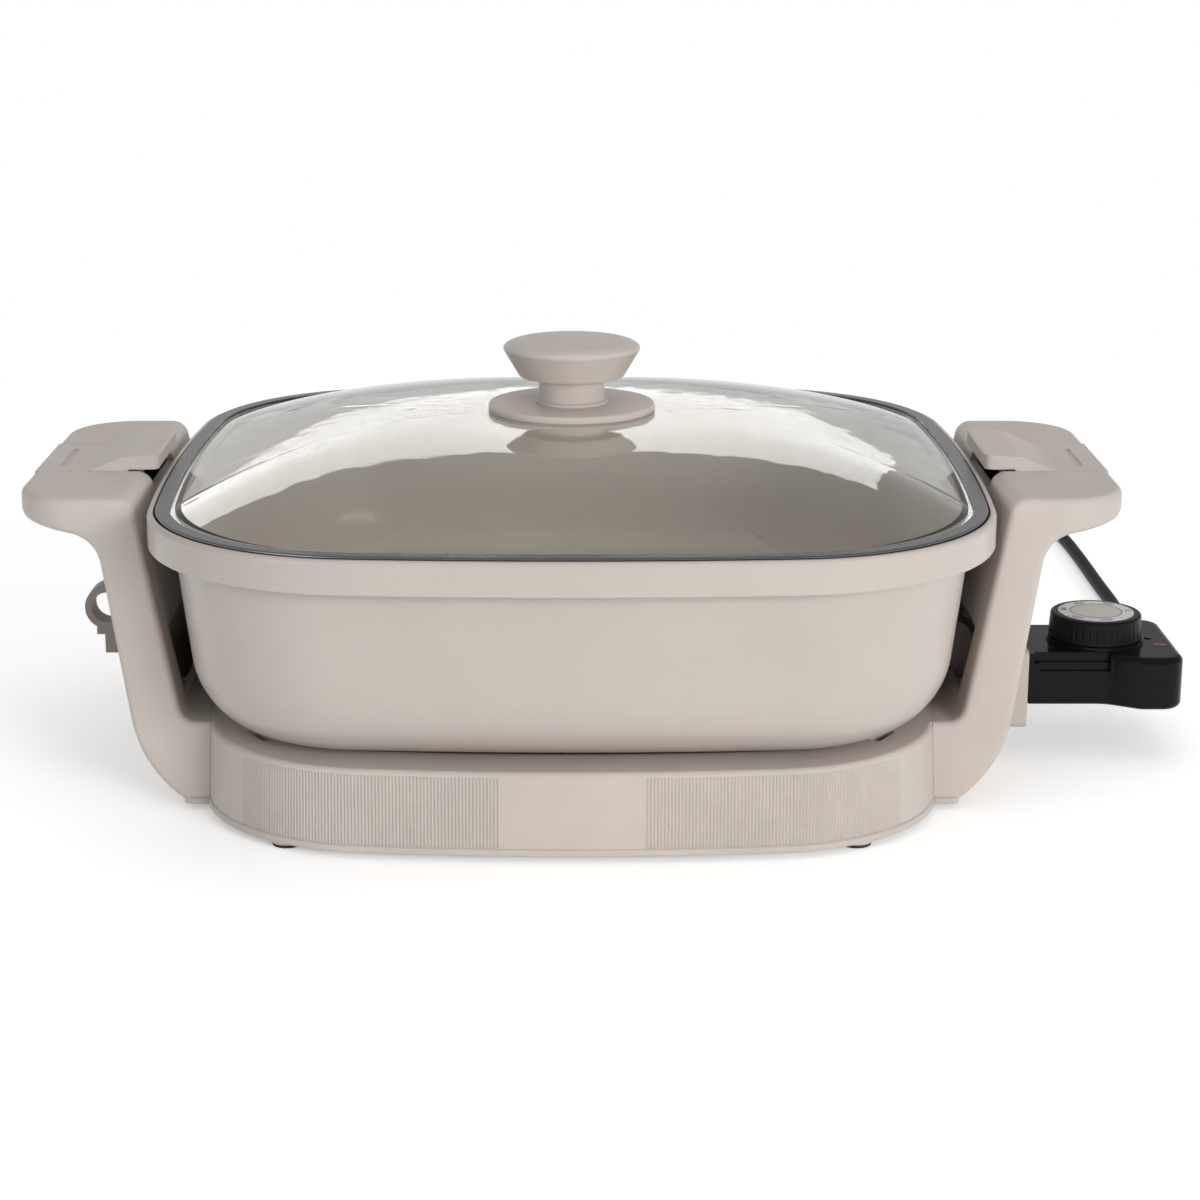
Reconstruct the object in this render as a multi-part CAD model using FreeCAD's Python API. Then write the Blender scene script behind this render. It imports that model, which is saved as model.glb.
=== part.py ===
import FreeCAD, Part
import math
import os
from FreeCAD import Vector

# Electric skillet: a square dish with a glass lid on a cradle base with two arms,
# and a plug-in heat control with its lead. Millimetres, +Z up, front towards -Y.
# Everything is modelled about the dish's centre on the floor, and moved at the end
# so that the origin is the middle of the footprint.

# Clearances
moving_gap = 0.3        # between pieces that slide or lift apart
seam_gap = 0.2          # between pieces of one body that only stand side by side
shaft_gap = 0.05        # radial, between a shaft and its bore
screw_gap = 0.1         # radial, between a screw and its hole

# Dish
flange_half = 152.5     # half the width over the flange
flange_bowing = 6.84    # radius of the gently bowed sides, for each unit of half width
flange_rounding = 0.525  # corner radius in plan, for each unit of half width
flange_depth = 12.0     # height of the rolled band
flange_lip = 2.2        # width of the top lip around the lid
flange_wall = 2.3       # thickness of the hanging band
flange_round = 1.6
lid_seat_depth = 3.8    # how far the lid's seat lies under the lip
lid_seat_wall = 2.6
dish_inset = 8.5        # from the flange's edge in to the wall
dish_bowing = 7.15
dish_rounding = 0.424
dish_low_rounding = 0.446  # the corners grow rounder towards the bottom
dish_draft = 0.11       # inward lean of the wall for each unit down
dish_bottom = 32.0      # height of the underside
dish_depth = 78.0
dish_round = 30.0       # radius round the bottom
dish_wall = 3.2
dish_floor = 3.6
dish_half = flange_half - dish_inset
flange_top = dish_bottom + dish_depth

# Lid
lid_gap = 0.8           # between the lip and the steel band
rim_width = 5.0
rim_height = 4.4
rim_sheet = 0.6
glass_thickness = 3.2
dome_inset = 1.5        # flat glass between the band and the dome
dome_rise = 20.7
dome_power = 2.2        # how flat the dome's top is
dome_levels = 7
knob_hole = 4.0
escutcheon_radius = 31.4
escutcheon_height = 2.4
escutcheon_round = 1.1
dome_flat = escutcheon_radius + 2.6
knob_foot_radius = 13.6
knob_foot_height = 1.2
knob_neck_radius = 12.4
knob_neck_height = 10.2
knob_low_radius = 19.7
knob_top_radius = 26.2
knob_flare_height = 11.0
knob_crown = 3.2
knob_round = 1.4
lid_screw_radius = 2.2
lid_screw_head = 5.5
lid_screw_head_height = 2.4
lid_screw_reach = 12.0  # how far the screw enters the knob
lid_washer_radius = 14.0
lid_washer_height = 1.6

# Base skirt
skirt_half = flange_half - 16.0
skirt_bowing = 5.0
skirt_rounding = 0.48
skirt_bottom = 2.4
skirt_top = dish_bottom - 0.4
skirt_lip = 0.6         # how far the strip along the foot stands out
skirt_lip_height = 2.2
skirt_draft = 1.5       # how far the top leans in
skirt_wall = 3.0
skirt_round = 1.8
ledge_width = 20.4      # flat rim round the sunken deck
deck_drop = 4.1
deck_thickness = 3.0
deck_top = skirt_top - deck_drop
vent_x = 0.805 * skirt_half
vent_y = 0.685 * skirt_half
vent_length = 13.0
vent_width = 4.0
vent_angle = -58.0
post_offset = 0.733 * skirt_half   # screw posts under the deck, from the centre each way
post_radius = 4.5
plate_thickness = 2.0
plate_lift = 0.2
plate_margin = 0.45     # between the plate's edge and the foot of the skirt's wall
slot_count = 7          # air slots in the bottom plate
slot_pitch = 11.0
slot_length = 70.0
slot_width = 4.0
foot_x = 0.725 * skirt_half
foot_y = 0.858 * skirt_half
foot_radius = 6.0
pad_height = 1.2
pad_radius = 5.4

# Fine upright ribs on the skirt's front, either side of a plain panel
panel_half = 25.0
rib_pitch = 1.2
rib_groove = 0.95       # width of the groove between two ribs
rib_depth = 0.42
rib_run = 98.0          # length of each ribbed stretch along the wall
rib_low = skirt_bottom + skirt_lip_height + 0.3
rib_high = skirt_top - skirt_round - 0.2

# Heater
heater_half = dish_half - 60.0
inner_bowing = 9.5
inner_rounding = 0.5
heater_top_gap = 0.3    # under the dish
heater_thickness = 8.0
element_radius = 3.3
element_loop = 0.738 * heater_half
element_bend = 14.0
pin_spacing = 22.0
pin_radius = 2.4
shield_half = heater_half + 8.0
shield_sheet = 0.9
shield_drop = 8.2       # from the plate's underside to the tray's floor
opening_half = heater_half + 11.0  # hole in the deck over the heater
shield_flange = opening_half + 4.0
rest_radius = 5.0       # soft rests under the dish
rest_sink = 1.5
rest_x = opening_half + rest_radius
rest_y = 40.0
spacer_inset = 11.08    # from the element's loop in to the spacers' axes
spacer_offset = (element_loop - spacer_inset) * math.sqrt(0.5)
spacer_radius = 4.5
heater_screw_radius = 1.8
heater_screw_head = 3.6
heater_screw_head_height = 2.0
heater_screw_reach = 4.0
heater_high = dish_bottom - heater_top_gap
heater_low = heater_high - heater_thickness
element_z = heater_low + 2.9
shield_floor = heater_low - shield_drop
block_in = heater_half + 24.0
block_out = block_in + 21.0
block_half = 20.0
block_low = element_z - 9.6
block_high = element_z + 5.0
tube_outer = 4.3
tube_inner = 3.35
tube_end_wall = 1.2

# Arms and handles
handle_length = 47.0    # from the dish's flange to the handle's outer edge
handle_reach = flange_half + handle_length
handle_top = flange_top + 2.0
handle_half = 70.5      # half the handle's length at its top
handle_corner = 25.0
handle_edge = handle_top - 9.5     # height of the handle's lower outer corner
handle_edge_round = 6.0
handle_inner_x = flange_half + 3.9
handle_inner_round = 6.0
handle_root_x = handle_inner_x + 13.2  # where the handle's underside meets the arm
handle_root_z = handle_top - 14.0
handle_root_round = 13.0
heel_x = skirt_half + 19.0         # knee near the bottom of the arm
heel_z = 15.3
heel_round = 46.0
toe_x = skirt_half + 2.2
arm_bottom = 2.2
arm_half = 82.0         # half the arm's length at its foot
arm_inner_x = skirt_half + 3.4     # inner corner above the shoulder
shoulder_z = skirt_top
shoulder_round = 6.0
arm_wall = 3.0
arm_edge_round = 2.4
arm_lip = 0.6           # strip round the arm's foot
arm_lip_height = 2.0
window_margin = 9.0     # frame round the opening in the arm's inner wall
window_low = shoulder_z + 4.8
window_high = handle_top - 10.4
cover_low = 62.0
cover_thickness = 2.4
gusset_y = 40.0
gusset_thickness = 2.4
gusset_high = 58.0
boss_y = 58.0
boss_z = 15.0
boss_radius = 5.0
arm_screw_radius = 1.8
arm_screw_head = 3.6
arm_screw_head_height = 2.2
arm_screw_reach = 9.0

# Latches
latch_half = 24.2
latch_depth = 1.6       # depth of the channel in the handle
latch_high = 6.1        # how far the tongue's tip stands above the handle
latch_climb = 0.8       # rise of the tongue towards its tip
latch_tip = flange_half + 0.7
latch_ramp_in = latch_tip + 13.3
latch_ramp_out = latch_ramp_in + 12.6
latch_ramp_round = 10.0
latch_plate = 5.6       # thickness of the tongue at its tip
latch_corner = 3.0
latch_travel = 12.0
latch_mouth = 7.0       # depth of the channel's open inner end
latch_groove_in = handle_reach - 10.2
latch_groove_width = 2.2
latch_groove_half = 15.0
keel_out = handle_reach - 7.5
keel_in = keel_out - 16.0
keel_half = 3.7
keeper_half = 9.0
keeper_margin = 2.0
keeper_thickness = 2.0
handle_roof = 3.0       # handle material under the latch channel

# Cord clip
clip_x = heel_x + 22.6
clip_z = 54.0
clip_outer = 8.7
clip_hole = 6.0
clip_width = 10.0
clip_leg_x = clip_x + 1.5
clip_leg_low = clip_z - 18.0
clip_leg_high = clip_z - 7.0
clip_tab = 3.0
clip_tab_height = 2.6

# Socket housing on the right arm
housing_out = skirt_half + 36.5
housing_half = 25.0
housing_low = element_z - 14.6
housing_high = element_z + 15.4
housing_wall = 2.6
housing_round = 2.0
guard_in = arm_inner_x + 3.6
guard_out = guard_in + 7.5
guard_top = housing_high + 12.0
guard_round = 6.5
pin_tip = housing_out - 2.0
tube_mouth = housing_out - 15.0

# Heat control
control_in = housing_out + moving_gap
control_length = 58.7
control_end = control_in + control_length
control_low = element_z - 6.8
control_high = element_z + 13.7
control_seam = element_z + 3.9
control_half = 21.5     # half width of the narrow part
control_bulge_half = 28.5
bulge_start = control_in + 29.7
front_swell = 12.3      # length of the swell on the control's front side
back_swell = 8.0
control_corner = 8.0
control_wall = 2.2
control_bottom_round = 2.5
control_top_round = 2.5
step_depth = 1.25       # the two steps along the top edges
step_one = 3.7
step_two = 6.8
step_slant = 4.5
nose_in = housing_out - 12.7
nose_half = 17.0
nose_low = element_z - 5.8
nose_high = element_z + 11.8
socket_outer = 3.6
socket_inner = 2.7
socket_back = housing_out + 8.0
rod_radius = 3.0
rod_tip = heater_half + 4.0
rod_back = housing_out + 11.0
dial_x = control_in + 29.0
dial_radius = 17.8
dial_top_radius = 17.3
dial_lift = 1.6
dial_height = 9.2
dial_wall = 2.0
dial_ribs = 40
dial_rib_depth = 0.5
dial_rib_radius = 0.7
face_radius = 14.4
face_depth = 0.8
collar_radius = dial_radius + 0.8  # thin ring seen under the dial
collar_height = 1.3
shaft_radius = 3.0
lens_x = control_end - 6.4
lens_y = -9.0
lens_length = 5.4
lens_width = 3.2
lens_proud = 0.15
thermostat_length = 26.0
thermostat_half = 9.0
thermostat_height = 6.0

# Lead and plug
cord_radius = 3.0
exit_x = control_end - 15.0
exit_z = control_seam - 1.5
relief_length = 26.0
relief_radius = 6.2
relief_tip = 4.2
relief_end = control_bulge_half + relief_length
coil_x = exit_x - 97.0
coil_y = relief_end + 301.5
coil_radius = 33.0
coil_turns_high = 2
plug_length = 30.0
plug_width = 24.0
plug_height = 16.0
plug_relief = 20.0
plug_reach = 45.0       # from the coil's middle to the plug's strain relief
blade_length = 16.0
blade_width = 6.3
blade_thickness = 1.5
blade_spacing = 12.7


def corner_centre(half, bow, corner):
    """How far along both axes the centre of a corner's arc lies."""
    lean = half - bow
    return (lean + math.sqrt(lean * lean - 2 * (lean * lean - (bow - corner) ** 2))) / 2


def outline(half, bow, corner, z):
    """Closed wire of a square with bowed sides and round corners, all arcs tangent."""
    lean = half - bow
    middle = corner_centre(half, bow, corner)
    angle = math.atan2(middle, middle - lean)
    side_end = Vector(lean + bow * math.cos(angle), bow * math.sin(angle), z)
    corner_top = middle + corner * math.sqrt(0.5)
    arcs = []
    for quarter in range(4):
        turn = FreeCAD.Rotation(Vector(0, 0, 1), 90 * quarter)
        first = Vector(side_end.x, -side_end.y, z)
        after = Vector(side_end.y, side_end.x, z)
        side = (first, Vector(half, 0, z), side_end)
        bend = (side_end, Vector(corner_top, corner_top, z), after)
        for points in (side, bend):
            a, b, c = [turn.multVec(p) for p in points]
            arcs.append(Part.Arc(a, b, c).toShape())
    return Part.Wire(arcs)


def form(half, bowing, rounding):
    """Half width, bow radius and corner radius of a plan form."""
    return (half, half * bowing, half * rounding)


def plan(kind, inset, z):
    """Outline of one of the named forms, moved in by an even amount."""
    half, bow, corner = kind
    return outline(half - inset, bow - inset, corner - inset, z)


flange_form = form(flange_half, flange_bowing, flange_rounding)
skirt_form = form(skirt_half, skirt_bowing, skirt_rounding)
opening_form = form(opening_half, inner_bowing, inner_rounding)
heater_form = form(heater_half, inner_bowing, inner_rounding)
shield_form = form(shield_half, inner_bowing, inner_rounding)
shield_flange_form = form(shield_flange, inner_bowing, inner_rounding)


def prism(kind, inset, low, high):
    """Straight-sided solid of a plan form between two heights."""
    return Part.Face(plan(kind, inset, low)).extrude(Vector(0, 0, high - low))


def tapered(kind, inset_low, low, inset_high, high):
    """Solid between two even insets of a plan form."""
    wires = [plan(kind, inset_low, low), plan(kind, inset_high, high)]
    return Part.makeLoft(wires, True, True)


def box(x0, x1, y0, y1, z0, z1):
    return Part.makeBox(x1 - x0, y1 - y0, z1 - z0, Vector(x0, y0, z0))


def cylinder(radius, x, y, low, high):
    return Part.makeCylinder(radius, high - low, Vector(x, y, low))


def rod_along_x(radius, x0, x1, y, z):
    return Part.makeCylinder(radius, x1 - x0, Vector(x0, y, z), Vector(1, 0, 0))


def edges_at_height(shape, z):
    """Edges that lie in one level plane."""
    found = []
    for edge in shape.Edges:
        bounds = edge.BoundBox
        if abs(bounds.ZMin - z) < 1e-4 and abs(bounds.ZMax - z) < 1e-4:
            found.append(edge)
    return found


def rounded_path(corners):
    """Closed wire through corner points, each with its own radius, in any flat plane."""
    count = len(corners)
    joins = []
    for i, (point, radius) in enumerate(corners):
        before = corners[i - 1][0] - point
        after = corners[(i + 1) % count][0] - point
        before.normalize()
        after.normalize()
        if radius == 0:
            joins.append((point, point, point))
            continue
        half_angle = before.getAngle(after) / 2
        reach = radius / math.tan(half_angle)
        centre_way = before + after
        centre_way.normalize()
        centre = point + centre_way * (radius / math.sin(half_angle))
        crown = centre - centre_way * radius
        joins.append((point + before * reach, crown, point + after * reach))
    edges = []
    for i, (start, crown, end) in enumerate(joins):
        if (end - start).Length > 1e-6:
            edges.append(Part.Arc(start, crown, end).toShape())
        following = joins[(i + 1) % count][0]
        if (following - end).Length > 1e-6:
            edges.append(Part.LineSegment(end, following).toShape())
    return Part.Wire(edges)


def four_ways(solid_at, x, y):
    """Compound of the same solid at the four mirrored places."""
    return Part.makeCompound([solid_at(sx * x, sy * y) for sx in (1, -1) for sy in (1, -1)])


# Dish

lid_seat_z = flange_top - lid_seat_depth


def dish_outline(inset, z):
    """Outline of the dish's wall, which leans in and grows rounder downwards."""
    down = flange_top - z
    half = dish_half - down * dish_draft
    rounding = dish_rounding + (dish_low_rounding - dish_rounding) * down / dish_depth
    return outline(half - inset, half * dish_bowing - inset, half * rounding - inset, z)


def dish_body(inset, bottom, rounding, top):
    """Tapered dish form with a rounded bottom edge."""
    body = Part.makeLoft([dish_outline(inset, bottom), dish_outline(inset, top)], True, True)
    return body.makeFillet(rounding, edges_at_height(body, bottom))


def make_pan():
    band = prism(flange_form, 0, flange_top - flange_depth, flange_top)
    band = band.makeFillet(flange_round, edges_at_height(band, flange_top))
    band = band.makeFillet(flange_round / 2, edges_at_height(band, flange_top - flange_depth))
    hollow = prism(flange_form, flange_wall, flange_top - flange_depth - 1, lid_seat_z - lid_seat_wall)
    seat = prism(flange_form, flange_lip, lid_seat_z, flange_top + 1)
    band = band.cut(hollow).cut(seat)
    outside = dish_body(0, dish_bottom, dish_round, lid_seat_z)
    inside = dish_body(dish_wall, dish_bottom + dish_floor, dish_round - dish_wall, flange_top + 1)
    return band.fuse(outside).cut(inside)


# Lid

rim_outer = flange_lip + lid_gap
rim_low = lid_seat_z + moving_gap
rim_high = rim_low + rim_height
glass_low = rim_low + rim_sheet
glass_high = glass_low + glass_thickness
dome_half = flange_half - rim_outer - rim_width - dome_inset
dome_top = glass_high + dome_rise


def make_lid_rim():
    band = prism(flange_form, rim_outer, rim_low, rim_high)
    band = band.makeFillet(rim_sheet, edges_at_height(band, rim_high))
    centre = prism(flange_form, rim_outer + rim_width, rim_low - 1, rim_high + 1)
    groove = prism(flange_form, rim_outer + rim_sheet, glass_low, rim_high - rim_sheet)
    return band.cut(centre).cut(groove)


def dome_form(low_z, half, rise):
    """Dome that starts square and turns round towards its flat middle."""
    wires = []
    for level in range(dome_levels):
        share = level / (dome_levels - 1)
        width = half - (half - dome_flat) * share
        height = low_z + rise * (1 - ((width - dome_flat) / (half - dome_flat)) ** dome_power)
        bow = width * (6.8 - 5.3 * share)
        corner = width * (0.52 + 0.4 * share)
        wires.append(outline(width, bow, corner, height))
    return Part.makeLoft(wires, True, False)


def make_lid_glass():
    edge_inset = rim_outer + rim_sheet
    plate = prism(flange_form, edge_inset, glass_low, glass_high)
    outside = dome_form(glass_high, dome_half, dome_rise)
    inside = dome_form(glass_low, dome_half - glass_thickness, dome_rise)
    hole = cylinder(knob_hole, 0, 0, glass_low, dome_top + 1)
    return plate.fuse(outside).cut(inside).cut(hole)


def make_lid_escutcheon():
    top = dome_top + escutcheon_height
    disc = cylinder(escutcheon_radius, 0, 0, dome_top, top)
    disc = disc.makeFillet(escutcheon_round, edges_at_height(disc, top))
    return disc.cut(cylinder(lid_screw_radius + screw_gap, 0, 0, dome_top - 1, top + 1))


def make_lid_knob():
    base = dome_top + escutcheon_height
    low = base + knob_neck_height
    high = low + knob_flare_height
    top = high + knob_crown
    turned = [
        (Vector(0, 0, base), 0),
        (Vector(knob_foot_radius, 0, base), 0),
        (Vector(knob_foot_radius, 0, base + knob_foot_height), 0.4),
        (Vector(knob_neck_radius, 0, base + knob_foot_height), 0.4),
        (Vector(knob_neck_radius, 0, low), 1.5),
        (Vector(knob_low_radius, 0, low), 0.8),
        (Vector(knob_top_radius, 0, high), knob_round),
        (Vector(knob_top_radius - 3.5, 0, top - 1.1), 9.0),
        (Vector(0, 0, top), 0),
    ]
    body = Part.Face(rounded_path(turned)).revolve(Vector(0, 0, 0), Vector(0, 0, 1), 360)
    return body.cut(cylinder(lid_screw_radius + screw_gap, 0, 0, base - 1, base + lid_screw_reach + 1))


washer_low = dome_top - glass_thickness - lid_washer_height


def make_lid_washer():
    ring = cylinder(lid_washer_radius, 0, 0, washer_low, washer_low + lid_washer_height)
    ring = ring.makeFillet(0.6, edges_at_height(ring, washer_low))
    return ring.cut(cylinder(lid_screw_radius + screw_gap, 0, 0, washer_low - 1, dome_top))


def make_lid_screw():
    low = washer_low - lid_screw_head_height
    head = cylinder(lid_screw_head, 0, 0, low, washer_low)
    head = head.makeFillet(1.0, edges_at_height(head, low))
    tip = dome_top + escutcheon_height + lid_screw_reach
    screw = head.fuse(cylinder(lid_screw_radius, 0, 0, washer_low, tip))
    return screw.cut(box(-lid_screw_head, lid_screw_head, -0.5, 0.5, low - 1, low + 1.0))


# Base skirt

deck_low = deck_top - deck_thickness
rim_inset = skirt_lip + skirt_draft + ledge_width
plate_low = skirt_bottom + plate_lift
plate_high = plate_low + plate_thickness


def skirt_inset(z):
    """How far the skirt's leaning face lies inside its foot strip at a height."""
    return skirt_lip + skirt_draft * (z - skirt_bottom) / (skirt_top - skirt_bottom)


def skirt_outside(grow, low, high):
    """The skirt's leaning outer face, carried on above and below, with the strip along its foot."""
    body = tapered(skirt_form, skirt_inset(low) - grow, low, skirt_inset(high) - grow, high)
    strip = prism(skirt_form, -grow, low, skirt_bottom + skirt_lip_height + grow)
    strip = strip.makeFillet(skirt_lip * 0.9, edges_at_height(strip, skirt_bottom + skirt_lip_height + grow))
    return body.fuse(strip)


def arm_seats():
    """Square-edged stretches of the skirt that the arms stand against."""
    half = arm_half - 4.0
    seats = []
    for sign in (1, -1):
        near, far = sorted((sign * (skirt_half - 22), sign * skirt_half))
        seats.append(box(near, far, -half, half, skirt_top - skirt_round - 1, skirt_top))
    return seats


def passage(grow, x0, x1):
    """Way through the skirt and arm for the heater's terminals."""
    return box(x0, x1, -housing_half - grow, housing_half + grow, housing_low - grow, housing_high + grow)


def vent(x, y):
    """Short slot across a corner of the deck."""
    angle = vent_angle * (1 if x * y < 0 else -1)
    low = skirt_top - deck_thickness - 1
    slot = box(-vent_length / 2, vent_length / 2, -vent_width / 2, vent_width / 2, low, skirt_top + 1)
    slot = slot.makeFillet(vent_width / 2 - 0.1, [e for e in slot.Edges if e.BoundBox.ZLength > 1])
    slot.rotate(Vector(0, 0, 0), Vector(0, 0, 1), -angle)
    slot.translate(Vector(x, y, 0))
    return slot


def rib_grooves():
    """Fine upright grooves in the skirt's front, from the plain panel round both corners."""
    half, bow, corner = skirt_form
    centre = corner_centre(half, bow, corner)
    side_angle = math.atan2(centre, centre + bow - half)
    side_run = bow * side_angle
    grooves = []
    for i in range(int(rib_run / rib_pitch)):
        along = panel_half + (i + 0.5) * rib_pitch
        if along < side_run:
            angle = along / bow
            middle_x, middle_y, radius = 0, bow - half, bow
        else:
            angle = side_angle + (along - side_run) / corner
            middle_x, middle_y, radius = centre, -centre, corner
        for sign in (1, -1):
            outward = Vector(sign * math.sin(angle), -math.cos(angle), 0)
            grooves.append(rib_cutter(Vector(sign * middle_x, middle_y, 0), outward, radius))
    return grooves


def rib_cutter(middle, outward, radius):
    """Three-sided prism that leans with the wall."""
    across = Vector(-outward.y, outward.x, 0)
    wires = []
    for z in (rib_low, rib_high):
        ring = []
        for sideways, deep in ((-rib_groove, -rib_depth), (rib_groove, -rib_depth), (0, rib_depth)):
            ring.append(middle + outward * (radius - skirt_inset(z) - deep) + across * sideways + Vector(0, 0, z))
        wires.append(Part.makePolygon(ring + ring[:1]))
    return Part.makeLoft(wires, True, True)


def make_base_shell():
    body = tapered(skirt_form, skirt_lip, skirt_bottom, skirt_lip + skirt_draft, skirt_top)
    square = body.copy()
    body = body.makeFillet(skirt_round, edges_at_height(body, skirt_top))
    for seat in arm_seats():
        body = body.fuse(square.common(seat))
    body = body.cut(rib_grooves())
    strip = prism(skirt_form, 0, skirt_bottom, skirt_bottom + skirt_lip_height)
    strip = strip.makeFillet(skirt_lip * 0.9, edges_at_height(strip, skirt_bottom + skirt_lip_height))
    body = body.fuse(strip)
    wall = skirt_lip + skirt_wall
    body = body.cut(tapered(skirt_form, wall, skirt_bottom - 1, wall + skirt_draft, skirt_top - deck_thickness))
    body = body.fuse(prism(skirt_form, rim_inset - skirt_wall, deck_low, skirt_top - 0.5))
    body = body.cut(prism(skirt_form, rim_inset, deck_top, skirt_top + 1))
    body = body.cut(prism(opening_form, 0, deck_low - 1, deck_top + 1))
    posts = four_ways(lambda x, y: cylinder(post_radius, x, y, plate_high, deck_low + 1), post_offset, post_offset)
    body = body.fuse(posts.Solids)
    holes = four_ways(lambda x, y: cylinder(arm_screw_radius, x, y, plate_high - 1, deck_low - 2),
                      post_offset, post_offset)
    body = body.cut(holes).cut(four_ways(vent, vent_x, vent_y))
    body = body.cut(four_ways(rest_pocket, rest_x, rest_y))
    body = body.cut(box(opening_half - 1, skirt_half + 1, -block_half - seam_gap, block_half + seam_gap,
                        block_low - seam_gap, skirt_top + 1))
    return body.cut(arm_screw_holes())


def rest_pocket(x, y):
    return cylinder(rest_radius + screw_gap, x, y, deck_top - rest_sink, deck_top + 1)


def make_pan_rests():
    top = dish_bottom - moving_gap
    def pad(x, y):
        body = cylinder(rest_radius, x, y, deck_top - rest_sink, top)
        return body.makeFillet(1.0, edges_at_height(body, top))
    return four_ways(pad, rest_x, rest_y)


def make_bottom_plate():
    body = prism(skirt_form, skirt_lip + skirt_wall + plate_margin, plate_low, plate_high)
    for i in range(slot_count):
        y = (i - (slot_count - 1) / 2) * slot_pitch
        body = body.cut(box(-slot_length / 2, slot_length / 2, y - slot_width / 2, y + slot_width / 2,
                            plate_low - 1, plate_high + 1))
    holes = four_ways(lambda x, y: cylinder(arm_screw_radius + screw_gap, x, y, plate_low - 1, plate_high + 1),
                      post_offset, post_offset)
    return body.cut(holes)


def make_base_screws():
    def screw(x, y):
        shank = cylinder(arm_screw_radius - screw_gap, x, y, plate_low, plate_high + arm_screw_reach)
        return shank.fuse(cylinder(arm_screw_head, x, y, plate_low - 1.8, plate_low))
    return four_ways(screw, post_offset, post_offset)


def make_feet():
    def foot(x, y):
        body = cylinder(foot_radius, x, y, pad_height, skirt_bottom)
        return body.makeFillet(0.5, edges_at_height(body, pad_height))
    return four_ways(foot, foot_x, foot_y)


def make_foot_pads():
    def pad(x, y):
        body = cylinder(pad_radius, x, y, 0, pad_height)
        return body.makeFillet(0.3, edges_at_height(body, 0))
    return four_ways(pad, foot_x, foot_y)


# Arms, modelled on the right and mirrored for the left

def arm_profile(inset):
    """Side profile of arm and handle in the XZ plane, moved in by an even amount."""
    def at(x, z):
        return Vector(x, 0, z)
    inner_lean = (handle_inner_x - arm_inner_x) / (handle_top - shoulder_z)
    run = inset * math.sqrt(1 + inner_lean ** 2)
    top = handle_top - inset
    low = arm_bottom + inset
    shoulder = shoulder_z - inset
    outer_lean = (handle_root_x - heel_x) / (handle_root_z - heel_z)
    outer_run = inset * math.sqrt(1 + outer_lean ** 2)
    under_lean = (handle_edge - handle_root_z) / (handle_reach - handle_root_x)
    under_rise = inset * math.sqrt(1 + under_lean ** 2)
    root_x = handle_root_x - outer_run + outer_lean * under_rise
    root_z = handle_root_z + under_rise - under_lean * outer_run
    toe_lean = (heel_x - toe_x) / (heel_z - arm_bottom)
    toe_run = inset * math.sqrt(1 + toe_lean ** 2)
    heel_shift = (toe_run - outer_run) / (toe_lean - outer_lean)
    heel_at = at(heel_x - outer_run + heel_shift * outer_lean, heel_z + heel_shift)
    corners = [
        (at(handle_inner_x + run - inner_lean * inset, top), max(handle_inner_round - inset, 0)),
        (at(handle_reach - inset, top), 0),
        (at(handle_reach - inset, handle_edge + under_rise - under_lean * inset), handle_edge_round - inset),
        (at(root_x, root_z), handle_root_round + inset),
        (heel_at, heel_round - inset),
        (at(toe_x - toe_run + toe_lean * inset, low), max(3.0 - inset, 0)),
        (at(opening_half, low), 0),
        (at(opening_half, shoulder), 0),
        (at(arm_inner_x + run - inner_lean * inset, shoulder), shoulder_round + inset),
    ]
    return rounded_path(corners)


def arm_block(inset):
    """Wedge with leaning front and back faces and round outer corners."""
    lean = (arm_half - handle_half) / (handle_top - arm_bottom)
    start = opening_half - 10 - inset
    low_half = arm_half + lean * 5 - inset
    high_half = handle_half - lean * 5 - inset
    corners = [
        (Vector(start, -low_half, arm_bottom - 5), 0),
        (Vector(start, low_half, arm_bottom - 5), 0),
        (Vector(start, high_half, handle_top + 5), 0),
        (Vector(start, -high_half, handle_top + 5), 0),
    ]
    reach = handle_reach - inset
    block = Part.Face(rounded_path(corners)).extrude(Vector(reach - start, 0, 0))
    ends = [e for e in block.Edges if e.BoundBox.XMin > reach - 0.1 and e.BoundBox.ZLength > 50]
    return block.makeFillet(handle_corner - inset, ends)


def arm_form(inset):
    """Arm and handle as one closed form."""
    slab = Part.Face(arm_profile(inset)).extrude(Vector(0, 2 * arm_half + 20, 0))
    slab.translate(Vector(0, -arm_half - 10, 0))
    return slab.common(arm_block(inset)).Solids[0]


def arm_side_edges(form):
    """Edges where the arm's front and back faces meet its profile faces."""
    found = []
    for edge in form.Edges:
        middle = edge.valueAt((edge.FirstParameter + edge.LastParameter) / 2)
        if middle.x < arm_inner_x - 14 and middle.z < shoulder_z + 1:
            continue
        bounds = edge.BoundBox
        crosswise = bounds.YLength > 60
        smooth_seam = bounds.XLength < 0.3 and bounds.ZLength > 4
        if not crosswise and not smooth_seam:
            found.append(edge)
    return found


def boss(radius, y, x0, x1):
    return rod_along_x(radius, x0, x1, y, boss_z)


def arm_foot_strip():
    """Low strip that stands out round the arm's foot."""
    corners = [
        (Vector(opening_half + 10, -arm_half - arm_lip, arm_bottom), 0),
        (Vector(toe_x + 1.2, -arm_half - arm_lip, arm_bottom), 3.0),
        (Vector(toe_x + 1.2, arm_half + arm_lip, arm_bottom), 3.0),
        (Vector(opening_half + 10, arm_half + arm_lip, arm_bottom), 0),
    ]
    strip = Part.Face(rounded_path(corners)).extrude(Vector(0, 0, arm_lip_height))
    core = prism(skirt_form, 8.0, arm_bottom - 1, arm_bottom + arm_lip_height + 1)
    return strip.cut(core)


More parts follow.
